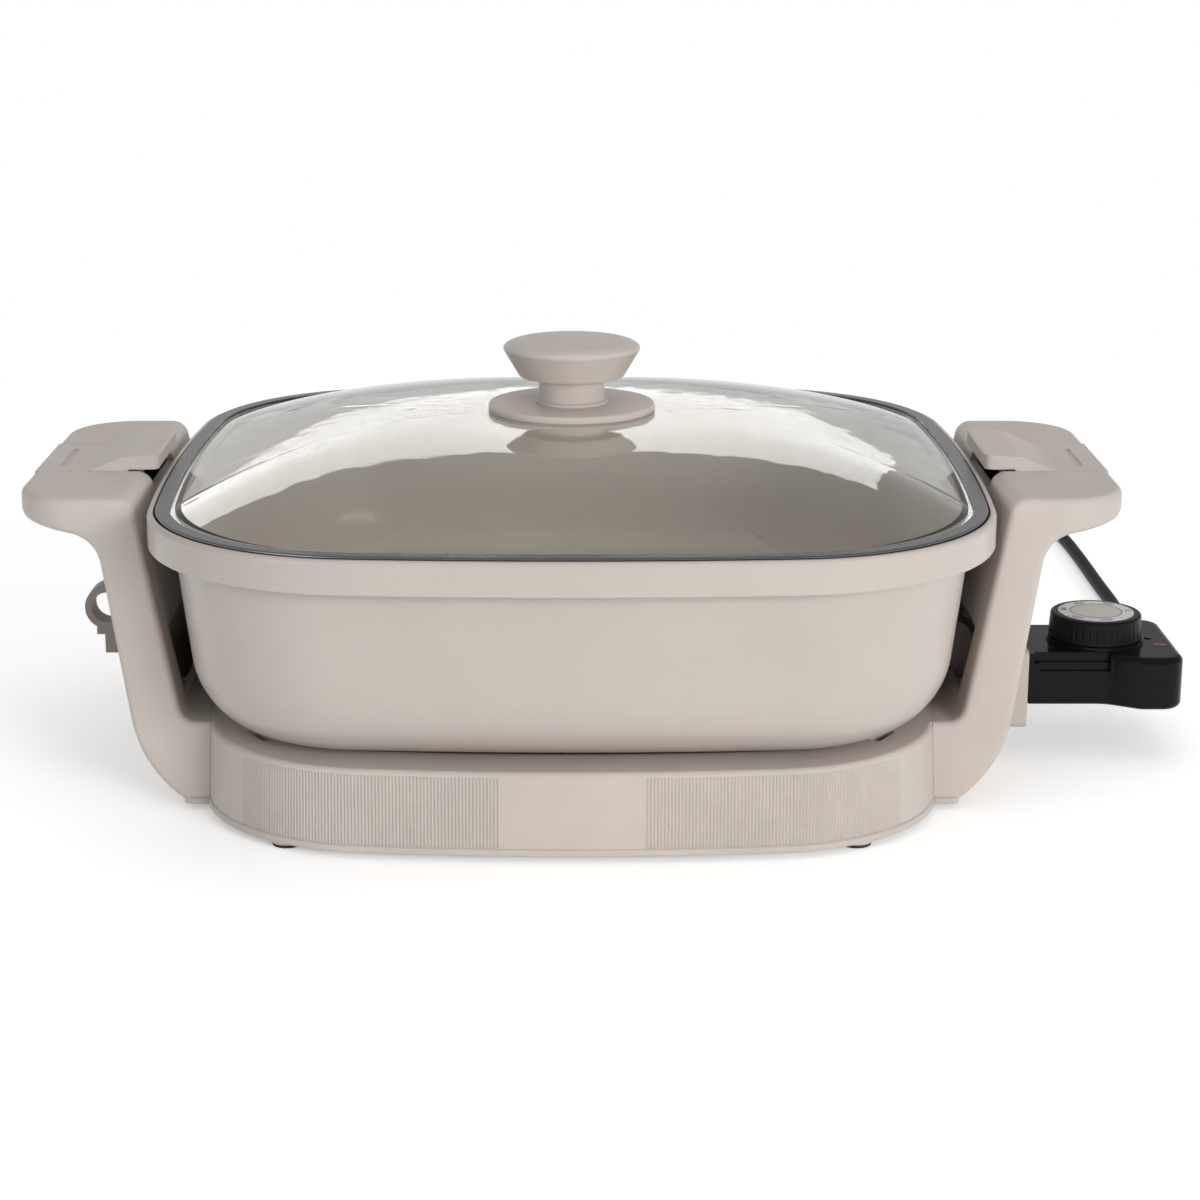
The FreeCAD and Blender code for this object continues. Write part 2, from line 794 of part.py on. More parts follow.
def arm_screw_holes():
    """Clearance holes through the skirt's sides for the arm screws."""
    holes = []
    for sign in (1, -1):
        for y in (boss_y, -boss_y):
            hole = boss(arm_screw_radius + screw_gap, y, skirt_half - 25, skirt_half + 1)
            if sign < 0:
                hole = hole.mirror(Vector(0, 0, 0), Vector(1, 0, 0))
            holes.append(hole)
    return Part.makeCompound(holes)


ceiling = handle_top - latch_depth - handle_roof


def arm_ribs():
    """Two upright ribs across the arm's hollow and the bosses for its screws."""
    ribs = []
    for y in (gusset_y, -gusset_y):
        slab = box(skirt_half - 10, handle_reach, y - gusset_thickness / 2, y + gusset_thickness / 2,
                   arm_bottom + 1, gusset_high)
        ribs.append(slab.common(arm_form(arm_wall / 2)).Solids[0])
    for y in (boss_y, -boss_y):
        post = boss(boss_radius, y, skirt_half - 20, heel_x)
        ribs.append(post.common(arm_form(arm_wall / 2)).Solids[0])
    return ribs


def make_arm():
    outside = arm_form(0)
    outside = outside.makeFillet(arm_edge_round, arm_side_edges(outside))
    hollow = arm_form(arm_wall)
    hollow = hollow.common(box(opening_half + 1, handle_reach, -arm_half, arm_half, 0, ceiling))
    window_half = handle_half - window_margin
    window = box(arm_inner_x - 8, handle_inner_x + 6, -window_half, window_half, window_low, window_high)
    window = window.cut(hollow_guard(arm_wall + 0.5))
    arm = outside.cut(hollow).fuse(arm_ribs()).cut(window)
    arm = arm.fuse(arm_foot_strip())
    for y in (boss_y, -boss_y):
        arm = arm.cut(boss(arm_screw_radius, y, skirt_half - 20, skirt_half + arm_screw_reach))
    arm = arm.cut(skirt_outside(0, arm_bottom - 2, shoulder_z + 8))
    channel = box(latch_tip - 10, handle_reach + 1, -latch_half - moving_gap, latch_half + moving_gap,
                  handle_top - latch_depth, handle_top + 1)
    slot = box(keel_in - latch_travel - moving_gap, keel_out + moving_gap,
               -keel_half - moving_gap, keel_half + moving_gap, ceiling - 1, handle_top)
    mouth = box(latch_tip - 10, handle_inner_x + 5.6, -latch_half - moving_gap, latch_half + moving_gap,
                handle_top - latch_mouth, handle_top + 1)
    return arm.cut(channel).cut(slot).cut(mouth)


def hollow_guard(thickness):
    """Outer skin region of the arm that the window must leave whole."""
    lean = (handle_root_x - heel_x) / (handle_root_z - heel_z)
    near = heel_x - thickness
    corners = [
        (Vector(near, 0, heel_z), 0),
        (Vector(near + lean * (handle_top - heel_z), 0, handle_top), 0),
        (Vector(handle_reach, 0, handle_top), 0),
        (Vector(handle_reach, 0, heel_z), 0),
    ]
    slab = Part.Face(rounded_path(corners)).extrude(Vector(0, 2 * arm_half, 0))
    slab.translate(Vector(0, -arm_half, 0))
    return slab


def make_arm_cover():
    """Inner wall panel that closes the upper part of the arm's opening."""
    lean = (handle_inner_x - arm_inner_x) / (handle_top - shoulder_z)
    high = window_high - seam_gap
    def inner(z, depth):
        return Vector(arm_inner_x + lean * (z - shoulder_z) + depth, 0, z)
    corners = [
        (inner(cover_low, 0), 1.0),
        (inner(high, 0), 0),
        (inner(high, cover_thickness), 0),
        (inner(cover_low, cover_thickness), 1.0),
    ]
    half = handle_half - window_margin - seam_gap
    panel = Part.Face(rounded_path(corners)).extrude(Vector(0, 2 * half, 0))
    panel.translate(Vector(0, -half, 0))
    return panel


def make_arm_screws():
    screws = []
    for y in (boss_y, -boss_y):
        face_x = skirt_side_x(y) - skirt_wall
        shank = boss(arm_screw_radius - screw_gap, y, face_x - 1, skirt_half + arm_screw_reach - 1)
        head = boss(arm_screw_head, y, face_x - arm_screw_head_height - 1, face_x - 0.8)
        screws.append(head.fuse(shank))
    return screws


def skirt_side_x(y):
    """How far the skirt's bowed side stands out at a given distance from its middle."""
    inset = skirt_inset(boss_z)
    bow = skirt_half * skirt_bowing - inset
    return skirt_half - inset - bow + math.sqrt(bow * bow - y * y)


def mirrored(shape):
    return shape.mirror(Vector(0, 0, 0), Vector(1, 0, 0))


# Latches

channel_floor = handle_top - latch_depth
latch_base = channel_floor + moving_gap


def make_latch():
    high = handle_top + latch_high
    under = high - latch_plate
    corners = [
        (Vector(handle_reach - 0.2, 0, latch_base), 0),
        (Vector(handle_reach - 0.2, 0, handle_top), 0.5),
        (Vector(latch_ramp_out, 0, handle_top), latch_ramp_round),
        (Vector(latch_ramp_in, 0, high - latch_climb), latch_ramp_round),
        (Vector(latch_tip, 0, high), 0.8),
        (Vector(latch_tip, 0, under), 0.5),
        (Vector(latch_ramp_in - 2, 0, under), 0),
        (Vector(latch_ramp_in - 1, 0, latch_base), 0),
    ]
    body = Part.Face(rounded_path(corners)).extrude(Vector(0, 2 * latch_half, 0))
    body.translate(Vector(0, -latch_half, 0))
    shape = rounded_path([
        (Vector(latch_tip, -latch_half, latch_base - 1), latch_corner),
        (Vector(handle_reach, -latch_half, latch_base - 1), 0.8),
        (Vector(handle_reach, latch_half, latch_base - 1), 0.8),
        (Vector(latch_tip, latch_half, latch_base - 1), latch_corner),
    ])
    body = body.common(Part.Face(shape).extrude(Vector(0, 0, 20)))
    groove = box(latch_groove_in, latch_groove_in + latch_groove_width, -latch_groove_half, latch_groove_half,
                 handle_top - 0.6, handle_top + 1)
    return body.cut(groove)


def make_latch_keeper():
    neck = box(keel_in, keel_out, -keel_half, keel_half, channel_floor - handle_roof - moving_gap, latch_base)
    top = channel_floor - handle_roof - moving_gap
    foot = box(keel_in - keeper_margin, keel_out + keeper_margin, -keeper_half, keeper_half,
               top - keeper_thickness, top)
    return neck.fuse(foot)


# Cord clip on the left arm

def make_cord_clip():
    half = clip_width / 2
    ring = Part.makeCylinder(clip_outer, clip_width, Vector(-clip_x, -half, clip_z), Vector(0, 1, 0))
    leg = box(-clip_leg_x, -heel_x + 4, -half, half, clip_leg_low, clip_leg_high)
    tab = box(-clip_leg_x - clip_tab, -clip_leg_x + 1, -half, half,
              clip_leg_high - clip_tab_height - 1, clip_leg_high - 1)
    clip = ring.fuse(leg).fuse(tab)
    hole = Part.makeCylinder(clip_hole, clip_width + 2, Vector(-clip_x, -half - 1, clip_z), Vector(0, 1, 0))
    return clip.cut(hole).cut(mirrored(arm_form(0)))


# Heater under the dish

def element_path():
    """Loop with both ends brought out side by side along +X."""
    side = pin_spacing / 2
    bend_x = math.sqrt((element_loop + element_bend) ** 2 - (side + element_bend) ** 2)
    ratio = element_loop / (element_loop + element_bend)
    touch = Vector(bend_x * ratio, (side + element_bend) * ratio, element_z)
    leave = Vector(bend_x, side, element_z)
    way = Vector(bend_x, side + element_bend, 0) * -1
    way.normalize()
    centre = Vector(bend_x, side + element_bend, element_z)
    middle_way = way + Vector(0, -1, 0)
    middle_way.normalize()
    middle = centre + middle_way * element_bend
    end = Vector(block_out, side, element_z)
    def low(p):
        return Vector(p.x, -p.y, p.z)
    edges = [
        Part.LineSegment(end, leave).toShape(),
        Part.Arc(leave, middle, touch).toShape(),
        Part.Arc(touch, Vector(-element_loop, 0, element_z), low(touch)).toShape(),
        Part.Arc(low(touch), low(middle), low(leave)).toShape(),
        Part.LineSegment(low(leave), low(end)).toShape(),
    ]
    return Part.Wire(edges)


def tube_along(path, radius):
    start = path.Edges[0].valueAt(path.Edges[0].FirstParameter)
    way = path.Edges[0].tangentAt(path.Edges[0].FirstParameter)
    ring = Part.Wire([Part.makeCircle(radius, start, way)])
    return path.makePipeShell([ring], True, True)


def make_heating_element():
    tube = tube_along(element_path(), element_radius)
    for side in (1, -1):
        pin = rod_along_x(pin_radius, block_out - 4, pin_tip, side * pin_spacing / 2, element_z)
        tip = [e for e in pin.Edges if e.BoundBox.XMin > pin_tip - 0.1]
        tube = tube.fuse(pin.makeChamfer(0.8, tip))
    return tube


def make_heater_plate():
    body = prism(heater_form, 0, heater_low, heater_high)
    groove = tube_along(element_path(), element_radius + seam_gap)
    slot_low = heater_low - 1
    groove_parts = [groove]
    ring_out = cylinder(element_loop + element_radius + seam_gap, 0, 0, slot_low, element_z)
    ring_in = cylinder(element_loop - element_radius - seam_gap, 0, 0, slot_low - 1, element_z + 1)
    side = pin_spacing / 2
    lead_half = element_radius + seam_gap
    ring = ring_out.cut(ring_in)
    groove_parts.append(ring)
    for sign in (1, -1):
        groove_parts.append(box(element_loop - 8, heater_half + 1, sign * side - lead_half - 2,
                                sign * side + lead_half + 2, slot_low, element_z))
    for part in groove_parts:
        body = body.cut(part)
    holes = four_ways(lambda x, y: cylinder(heater_screw_radius, x, y, slot_low, heater_low + heater_screw_reach),
                      spacer_offset, spacer_offset)
    return body.cut(holes)


def make_heat_shield():
    under_deck = deck_low - shield_sheet
    outer = prism(shield_form, 0, shield_floor, deck_low)
    outer = outer.makeFillet(3.0, edges_at_height(outer, shield_floor))
    flange = prism(shield_flange_form, 0, under_deck, deck_low)
    inner = prism(shield_form, shield_sheet, shield_floor + shield_sheet, deck_low + 1)
    inner = inner.makeFillet(2.1, edges_at_height(inner, shield_floor + shield_sheet))
    tray = outer.fuse(flange).cut(inner)
    holes = four_ways(lambda x, y: cylinder(heater_screw_radius + screw_gap, x, y, shield_floor - 1,
                                            shield_floor + 2), spacer_offset, spacer_offset)
    tray = tray.cut(holes)
    return tray.cut(box(heater_half, shield_flange + 5, -block_half, block_half,
                        element_z - tube_outer - 2, deck_low + 1))


def make_heater_posts():
    low = shield_floor + shield_sheet
    def post(x, y):
        body = cylinder(spacer_radius, x, y, low, heater_low)
        return body.cut(cylinder(heater_screw_radius + screw_gap, x, y, low - 1, heater_low + 1))
    return four_ways(post, spacer_offset, spacer_offset)


def make_heater_screws():
    def screw(x, y):
        shank = cylinder(heater_screw_radius - screw_gap, x, y, shield_floor,
                         heater_low + heater_screw_reach - 0.5)
        return shank.fuse(cylinder(heater_screw_head, x, y, shield_floor - heater_screw_head_height, shield_floor))
    return four_ways(screw, spacer_offset, spacer_offset)


def make_terminal_block():
    body = box(block_in, block_out, -block_half, block_half, block_low, block_high)
    for side in (1, -1):
        body = body.cut(rod_along_x(element_radius + screw_gap, block_in - 1, block_out + 1,
                                    side * pin_spacing / 2, element_z))
    body = body.cut(rod_along_x(tube_outer + screw_gap, block_in - 1, block_out + 1, 0, element_z))
    return body


def make_sensor_tube():
    start = heater_half + seam_gap
    body = rod_along_x(tube_outer, start, tube_mouth, 0, element_z)
    return body.cut(rod_along_x(tube_inner, start + tube_end_wall, tube_mouth + 1, 0, element_z))


# Socket housing on the right arm

def make_socket_housing():
    low = housing_low
    high = housing_high
    tunnel = box(skirt_half - 4, housing_out, -housing_half, housing_half, low, high)
    rounded = [e for e in tunnel.Edges if e.BoundBox.XLength > 5]
    tunnel = tunnel.makeFillet(housing_round, rounded)
    hood_path = [
        (Vector(guard_in, 0, housing_high - 4), 0),
        (Vector(guard_in, 0, guard_top), 1.0),
        (Vector(guard_out, 0, guard_top), guard_round),
        (Vector(guard_out, 0, housing_high - 4), 0),
    ]
    hood = Part.Face(rounded_path(hood_path)).extrude(Vector(0, 2 * housing_half, 0))
    hood.translate(Vector(0, -housing_half, 0))
    inner_hood = box(guard_in + 2, guard_out - 2, -housing_half + 2, housing_half - 2,
                     housing_high - 5, guard_top - 2.5)
    body = tunnel.fuse(hood)
    inside = box(skirt_half - 5, housing_out + 1, -housing_half + housing_wall, housing_half - housing_wall,
                 low + housing_wall, high - housing_wall)
    body = body.cut(inside).cut(inner_hood)
    return body.cut(skirt_outside(seam_gap, arm_bottom - 2, housing_high + 5))


# Heat control

def control_plan(narrow, wide, inset, z):
    """Plan of the control: a narrow neck that swells into a round-cornered end, more slowly in front."""
    def side(sign, swell, first_round, second_round):
        return [
            (Vector(control_in + inset, sign * (narrow - inset), z), 0),
            (Vector(bulge_start, sign * (narrow - inset), z), first_round),
            (Vector(bulge_start + swell, sign * (wide - inset), z), second_round),
            (Vector(control_end - inset, sign * (wide - inset), z), control_corner - inset),
        ]
    return rounded_path(side(-1, front_swell, 12.0, 10.0) + side(1, back_swell, 7.0, 5.0)[::-1])


def control_block(narrow, wide, inset, low, high):
    return Part.Face(control_plan(narrow, wide, inset, low)).extrude(Vector(0, 0, high - low))


def nose(low, high):
    return box(nose_in, control_in + 3, -nose_half, nose_half, low, high)


def control_bores():
    """Holes in the nose for the two contact sockets and the sensing rod."""
    bores = [rod_along_x(rod_radius + screw_gap, nose_in - 1, control_in + control_wall + 4, 0, element_z)]
    for side in (1, -1):
        bores.append(rod_along_x(socket_outer + screw_gap, nose_in - 1, control_in + control_wall + 4,
                                 side * pin_spacing / 2, element_z))
    return Part.makeCompound(bores)


def make_control_case():
    body = control_block(control_half, control_bulge_half, 0, control_low, control_seam)
    low_edges = edges_at_height(body, control_low)
    body = body.makeFillet(control_bottom_round, low_edges)
    body = body.fuse(nose(nose_low, control_seam))
    inside = control_block(control_half, control_bulge_half, control_wall, control_low + control_wall,
                           control_seam + 1)
    body = body.cut(inside).cut(control_bores())
    return body.cut(rod_exit(cord_radius + 1.0))


def rod_exit(radius):
    return Part.makeCylinder(radius, 12, Vector(exit_x, control_bulge_half - 6, exit_z), Vector(0, 1, 0))


def make_control_cover():
    low = control_seam
    high = control_high
    body = control_block(control_half, control_bulge_half, 0, low, high)
    for drop, depth in ((step_one, 2 * step_depth), (step_two, step_depth)):
        for sign in (1, -1):
            start = control_in + step_slant * drop / step_two
            y0 = sign * (control_half - depth)
            y1 = sign * (control_half + 2)
            body = body.cut(box(start, bulge_start + 1.5, min(y0, y1), max(y0, y1), high - drop, high + 1))
    top_edges = [e for e in edges_at_height(body, high) if e.BoundBox.XMin > bulge_start + back_swell - 1]
    body = body.makeFillet(control_top_round, top_edges)
    body = body.fuse(nose(low, nose_high))
    inside = control_block(control_half - 2 * step_depth, control_bulge_half, control_wall, low - 1,
                           high - control_wall)
    body = body.cut(inside)
    body = body.fuse(cylinder(collar_radius, dial_x, 0, high - 0.5, high + collar_height))
    body = body.cut(cylinder(shaft_radius + shaft_gap, dial_x, 0, low, high + collar_height + 1))
    body = body.cut(lens_form(0.1, high - control_wall - 1, high + 1))
    return body.cut(rod_exit(cord_radius + 1.0))


def lens_form(grow, low, high):
    half_width = lens_width / 2 + grow
    reach = lens_length / 2 - lens_width / 2
    middle = box(lens_x - reach, lens_x + reach, lens_y - half_width, lens_y + half_width, low, high)
    ends = [cylinder(half_width, lens_x + sign * reach, lens_y, low, high) for sign in (1, -1)]
    return middle.fuse(ends)


def make_indicator_lens():
    return lens_form(0, control_high - control_wall, control_high + lens_proud)


def make_contact_sockets():
    sockets = []
    for side in (1, -1):
        y = side * pin_spacing / 2
        tube = rod_along_x(socket_outer, nose_in + 0.5, socket_back, y, element_z)
        sockets.append(tube.cut(rod_along_x(socket_inner, nose_in, pin_tip + 2, y, element_z)))
    return Part.makeCompound(sockets)


def make_sensing_rod():
    rod = rod_along_x(rod_radius, rod_tip, rod_back, 0, element_z)
    tip = [e for e in rod.Edges if e.BoundBox.XMax < rod_tip + 0.1]
    return rod.makeFillet(1.2, tip)


shaft_low = element_z + 1.0


def make_thermostat():
    start = rod_back + 0.2
    low = control_low + control_wall
    body = box(start, start + thermostat_length, -thermostat_half, thermostat_half, low, low + thermostat_height - 1)
    arm = box(start, start + thermostat_length, -3, 3, low + thermostat_height - 1, shaft_low - moving_gap)
    return body.fuse(arm)


dial_low = control_high + dial_lift
dial_high = dial_low + dial_height


def make_dial():
    skirt = Part.makeCone(dial_radius, dial_top_radius, dial_height, Vector(dial_x, 0, dial_low))
    skirt = skirt.makeFillet(1.0, edges_at_height(skirt, dial_high))
    hollow = cylinder(dial_radius - dial_wall, dial_x, 0, dial_low - 1, dial_high - dial_wall - face_depth)
    hub = cylinder(shaft_radius + 2.2, dial_x, 0, dial_low + 0.2, dial_high - dial_wall)
    body = skirt.cut(hollow).fuse(hub)
    body = body.cut(cylinder(face_radius + screw_gap, dial_x, 0, dial_high - face_depth, dial_high + 1))
    body = body.cut(cylinder(shaft_radius, dial_x, 0, dial_low - 1, dial_high - dial_wall - 0.5))
    grooves = []
    for i in range(dial_ribs):
        angle = 2 * math.pi * i / dial_ribs
        radius = dial_radius + dial_rib_radius - dial_rib_depth
        x = dial_x + radius * math.cos(angle)
        y = radius * math.sin(angle)
        grooves.append(cylinder(dial_rib_radius, x, y, dial_low + 1.6, dial_high - 1.6))
    return body.cut(grooves)


def make_dial_face():
    return cylinder(face_radius, dial_x, 0, dial_high - face_depth, dial_high + 0.2)


def make_dial_shaft():
    return cylinder(shaft_radius, dial_x, 0, shaft_low, dial_high - dial_wall - 0.5)


# Lead and plug

def make_strain_relief():
    start = Vector(exit_x, control_bulge_half, exit_z)
    body = Part.makeCone(relief_radius, relief_tip, relief_length, start, Vector(0, 1, 0))
    for i in range(4):
        y = control_bulge_half + 5 + i * 5
        ring = Part.makeCylinder(relief_radius + 1, 1.6, Vector(exit_x, y, exit_z), Vector(0, 1, 0))
        core = Part.makeCylinder(relief_tip - 0.6, 1.6, Vector(exit_x, y, exit_z), Vector(0, 1, 0))
        body = body.cut(ring.cut(core))
    return body


cord_rest = cord_radius + 0.1
coil_top = 2 * cord_radius * coil_turns_high + 0.2

# Route of the lead from the strain relief to the coil: x, y, z of each point
cord_points = [
    (exit_x, relief_end, exit_z),
    (exit_x, relief_end + 19, exit_z),
    (exit_x + 6.5, relief_end + 40, exit_z - 9.5),
    (exit_x + 17, relief_end + 64, exit_z - 20),
    (exit_x + 26.5, relief_end + 92, cord_rest + 1.0),
    (exit_x + 30.6, relief_end + 124, cord_rest),
    (exit_x + 30.2, relief_end + 160, cord_rest),
    (exit_x + 30.6, relief_end + 205, cord_rest),
    (exit_x + 30.3, relief_end + 250, cord_rest),
    (exit_x + 27, relief_end + 286, cord_rest),
    (exit_x + 13, relief_end + 316, cord_rest),
    (exit_x - 12, relief_end + 334, cord_rest),
    (exit_x - 42, relief_end + 337.5, cord_rest),
    (exit_x - 70, relief_end + 337, cord_rest),
    (coil_x, coil_y + coil_radius, cord_rest),
]


def cord_path(points):
    """Straight runs joined by tangent arcs, as large as the runs allow."""
    spots = [Vector(*p) for p in points]
    edges = []
    radii = []
    last = spots[0]
    for i in range(1, len(spots) - 1):
        back = spots[i - 1] - spots[i]
        ahead = spots[i + 1] - spots[i]
        shorter = min(back.Length, ahead.Length)
        back.normalize()
        ahead.normalize()
        half_turn = (math.pi - back.getAngle(ahead)) / 2
        reach = 0.45 * shorter
        radius = reach / math.tan(half_turn)
        radii.append(radius)
        middle_way = back + ahead
        middle_way.normalize()
        crown = spots[i] + middle_way * (radius / math.cos(half_turn) - radius)
        start = spots[i] + back * reach
        end = spots[i] + ahead * reach
        edges.append(Part.LineSegment(last, start).toShape())
        edges.append(Part.Arc(start, crown, end).toShape())
        last = end
    edges.append(Part.LineSegment(last, spots[-1]).toShape())
    return Part.Wire(edges), radii


def make_cord():
    path, radii = cord_path(cord_points)
    tube = tube_along(path, cord_radius)
    expected = math.pi * cord_radius ** 2 * path.Length
    print("lead radii", [round(r) for r in radii])
    print("lead length", round(path.Length, 1), "volume share", round(tube.Volume / expected, 4))
    return tube.cut(coil_solid())


def coil_solid():
    outer = cylinder(coil_radius + cord_radius, coil_x, coil_y, 0, coil_top)
    outer = outer.makeFillet(cord_radius - 0.4, edges_at_height(outer, 0) + edges_at_height(outer, coil_top))
    return outer.cut(cylinder(coil_radius - cord_radius, coil_x, coil_y, -1, coil_top + 1))


plug_face_x = coil_x - plug_reach
plug_y = coil_y + coil_radius
plug_axis_z = plug_height / 2


def make_cord_tail():
    start = Vector(coil_x, plug_y, coil_top - cord_radius - 0.1)
    end = Vector(plug_face_x, plug_y, plug_axis_z)
    way = end - start
    tail = Part.makeCylinder(cord_radius, way.Length - 0.05, start, way)
    return tail.cut(coil_solid()).cut(make_plug_body())


def make_plug_body():
    relief = Part.makeCone(relief_tip, 7.0, plug_relief, Vector(plug_face_x, plug_y, plug_axis_z),
                           Vector(-1, 0, 0))
    front = plug_face_x - plug_relief
    body = box(front - plug_length, front, plug_y - plug_width / 2, plug_y + plug_width / 2, 0, plug_height)
    body = body.makeFillet(3.0, [e for e in body.Edges if e.BoundBox.XLength > 5 or e.BoundBox.XMin > front - 1])
    return body.fuse(relief)


def make_plug_blades():
    front = plug_face_x - plug_relief - plug_length
    blades = []
    for sign in (1, -1):
        y = plug_y + sign * blade_spacing / 2
        blade = box(front - blade_length, front, y - blade_thickness / 2, y + blade_thickness / 2,
                    plug_axis_z - blade_width / 2, plug_axis_z + blade_width / 2)
        blades.append(blade.makeChamfer(0.4, [e for e in blade.Edges if e.BoundBox.XMax < front - blade_length + 0.1]))
    return Part.makeCompound(blades)


def build_nodes():
    arm = make_arm()
    cover = make_arm_cover()
    right_arm = arm.cut(passage(seam_gap, skirt_half - 10, housing_out + 5))
    guard_space = box(guard_in - 1, guard_out + seam_gap, -housing_half - seam_gap, housing_half + seam_gap,
                      housing_high - 5, guard_top + seam_gap)
    right_arm = right_arm.cut(guard_space)
    arm_screws = make_arm_screws()
    latch = make_latch()
    keeper = make_latch_keeper()
    return {
        "base_shell": make_base_shell(),
        "bottom_plate": make_bottom_plate(),
        "base_screws": make_base_screws(),
        "feet": make_feet(),
        "foot_pads": make_foot_pads(),
        "pan_rests": make_pan_rests(),
        "arm_left": mirrored(arm),
        "arm_right": right_arm,
        "arm_cover_left": mirrored(cover),
        "arm_cover_right": cover,
        "arm_screws": Part.makeCompound(arm_screws + [mirrored(s) for s in arm_screws]),
        "cord_clip": make_cord_clip(),
        "socket_housing": make_socket_housing(),
        "heater_plate": make_heater_plate(),
        "heating_element": make_heating_element(),
        "heat_shield": make_heat_shield(),
        "heater_posts": make_heater_posts(),
        "heater_screws": make_heater_screws(),
        "terminal_block": make_terminal_block(),
        "sensor_tube": make_sensor_tube(),
        "pan": make_pan(),
        "lid_glass": make_lid_glass(),
        "lid_rim": make_lid_rim(),
        "lid_escutcheon": make_lid_escutcheon(),
        "lid_knob": make_lid_knob(),
        "lid_washer": make_lid_washer(),
        "lid_screw": make_lid_screw(),
        "latch_left": mirrored(latch),
        "latch_keeper_left": mirrored(keeper),
        "latch_right": latch,
        "latch_keeper_right": keeper,
        "control_case": make_control_case(),
        "control_cover": make_control_cover(),
        "indicator_lens": make_indicator_lens(),
        "contact_sockets": make_contact_sockets(),
        "sensing_rod": make_sensing_rod(),
        "thermostat": make_thermostat(),
        "dial": make_dial(),
        "dial_face": make_dial_face(),
        "dial_shaft": make_dial_shaft(),
        "strain_relief": make_strain_relief(),
        "cord": make_cord(),
        "cord_coil": coil_solid(),
        "cord_tail": make_cord_tail(),
        "plug_body": make_plug_body(),
        "plug_blades": make_plug_blades(),
    }


os.makedirs("parts", exist_ok=True)
to_origin = Vector((handle_reach - control_end) / 2, 0, 0)
for name, shape in build_nodes().items():
    placed = shape.copy()
    placed.translate(to_origin)
    placed.exportStep("parts/" + name + ".step")
    print(name, len(placed.Solids), placed.isValid(), round(placed.Volume, 1))
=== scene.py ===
import math

import bmesh
import bpy
from mathutils import Matrix, Vector


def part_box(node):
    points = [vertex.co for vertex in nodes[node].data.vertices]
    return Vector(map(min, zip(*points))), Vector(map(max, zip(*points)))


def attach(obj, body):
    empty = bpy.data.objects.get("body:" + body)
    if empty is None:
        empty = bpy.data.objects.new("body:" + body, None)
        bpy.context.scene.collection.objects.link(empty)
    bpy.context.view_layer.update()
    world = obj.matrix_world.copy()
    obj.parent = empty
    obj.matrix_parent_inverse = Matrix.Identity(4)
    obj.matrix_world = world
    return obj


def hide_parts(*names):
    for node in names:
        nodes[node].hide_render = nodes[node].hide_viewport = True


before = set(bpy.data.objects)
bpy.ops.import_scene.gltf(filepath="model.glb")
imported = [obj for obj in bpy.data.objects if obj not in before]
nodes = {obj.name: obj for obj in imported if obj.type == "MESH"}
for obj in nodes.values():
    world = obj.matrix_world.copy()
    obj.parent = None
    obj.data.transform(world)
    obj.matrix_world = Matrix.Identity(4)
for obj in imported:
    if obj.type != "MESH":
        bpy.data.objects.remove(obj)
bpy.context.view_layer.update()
print("frame loaded:", len(nodes), "nodes")

mm = 0.001

# the middle of the dish, which the camera and the lead's route are counted from
panLow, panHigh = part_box("pan")
dishX = (panLow.x + panHigh.x) / 2


# the photograph's own viewpoint
viewpoint = {
    "back": 0.988,              # metres in front of the dish's middle
    "height": 0.328,
    "tilt": 15.412,             # degrees down
    "lens": 79.76,
    "sensor": 36,
    "shift": 0.0236,
}

cameraData = bpy.data.cameras.new("photoCamera")
cameraData.lens = viewpoint["lens"]
cameraData.sensor_width = viewpoint["sensor"]
cameraData.shift_x = viewpoint["shift"]
camera = bpy.data.objects.new("photoCamera", cameraData)
camera.location = (dishX, -viewpoint["back"], viewpoint["height"])
camera.rotation_euler = (math.radians(90 - viewpoint["tilt"]), 0, 0)
bpy.context.scene.collection.objects.link(camera)
bpy.context.scene.camera = camera
print("camera set")


# the lead: the same route as the solid's, in mm from the dish's middle
lead = {
    "start": (217.0, 54.5, 29.0),
    "radius": 3.0,
    "rest": 3.1,                # height of its middle where it lies on the floor
    "coilMiddle": (120.0, 356.0),
    "coilRadius": 33.0,
    "coilSlack": 0.6,           # added to it, since the smooth line cuts inside its points
    "turns": 2,
    "turnPoints": 16,
    "climbStart": 0.72,         # where the second turn climbs onto the first, in turns
    "climbLength": 0.4,
    "climbGap": 0.1,            # between the two turns, where one lies on the other
    "plugReach": 45.0,          # from the coil's middle back to the plug
    "plugAxis": 8.0,            # height of the plug's middle
    "beforePlug": (-18.0, 0.6, 1.0),  # last point but one: from the coil, the plug's line and axis
    "length": 0.90,             # metres, from the strain relief to the plug
}

startX, startY, startZ = lead["start"]
rest = lead["rest"]
routeSteps = [
    (0, 0, startZ),
    (0, 19, startZ),
    (6.5, 40, startZ - 9.5),
    (17, 64, startZ - 20),
    (26.5, 92, rest + 1.0),
    (30.6, 124, rest),
    (30.2, 160, rest),
    (30.6, 205, rest),
    (30.3, 250, rest),
    (27, 286, rest),
    (13, 316, rest),
    (-12, 334, rest),
    (-42, 337.5, rest),
    (-70, 337, rest),
]
leadPoints = [(startX + x, startY + y, z) for x, y, z in routeSteps]

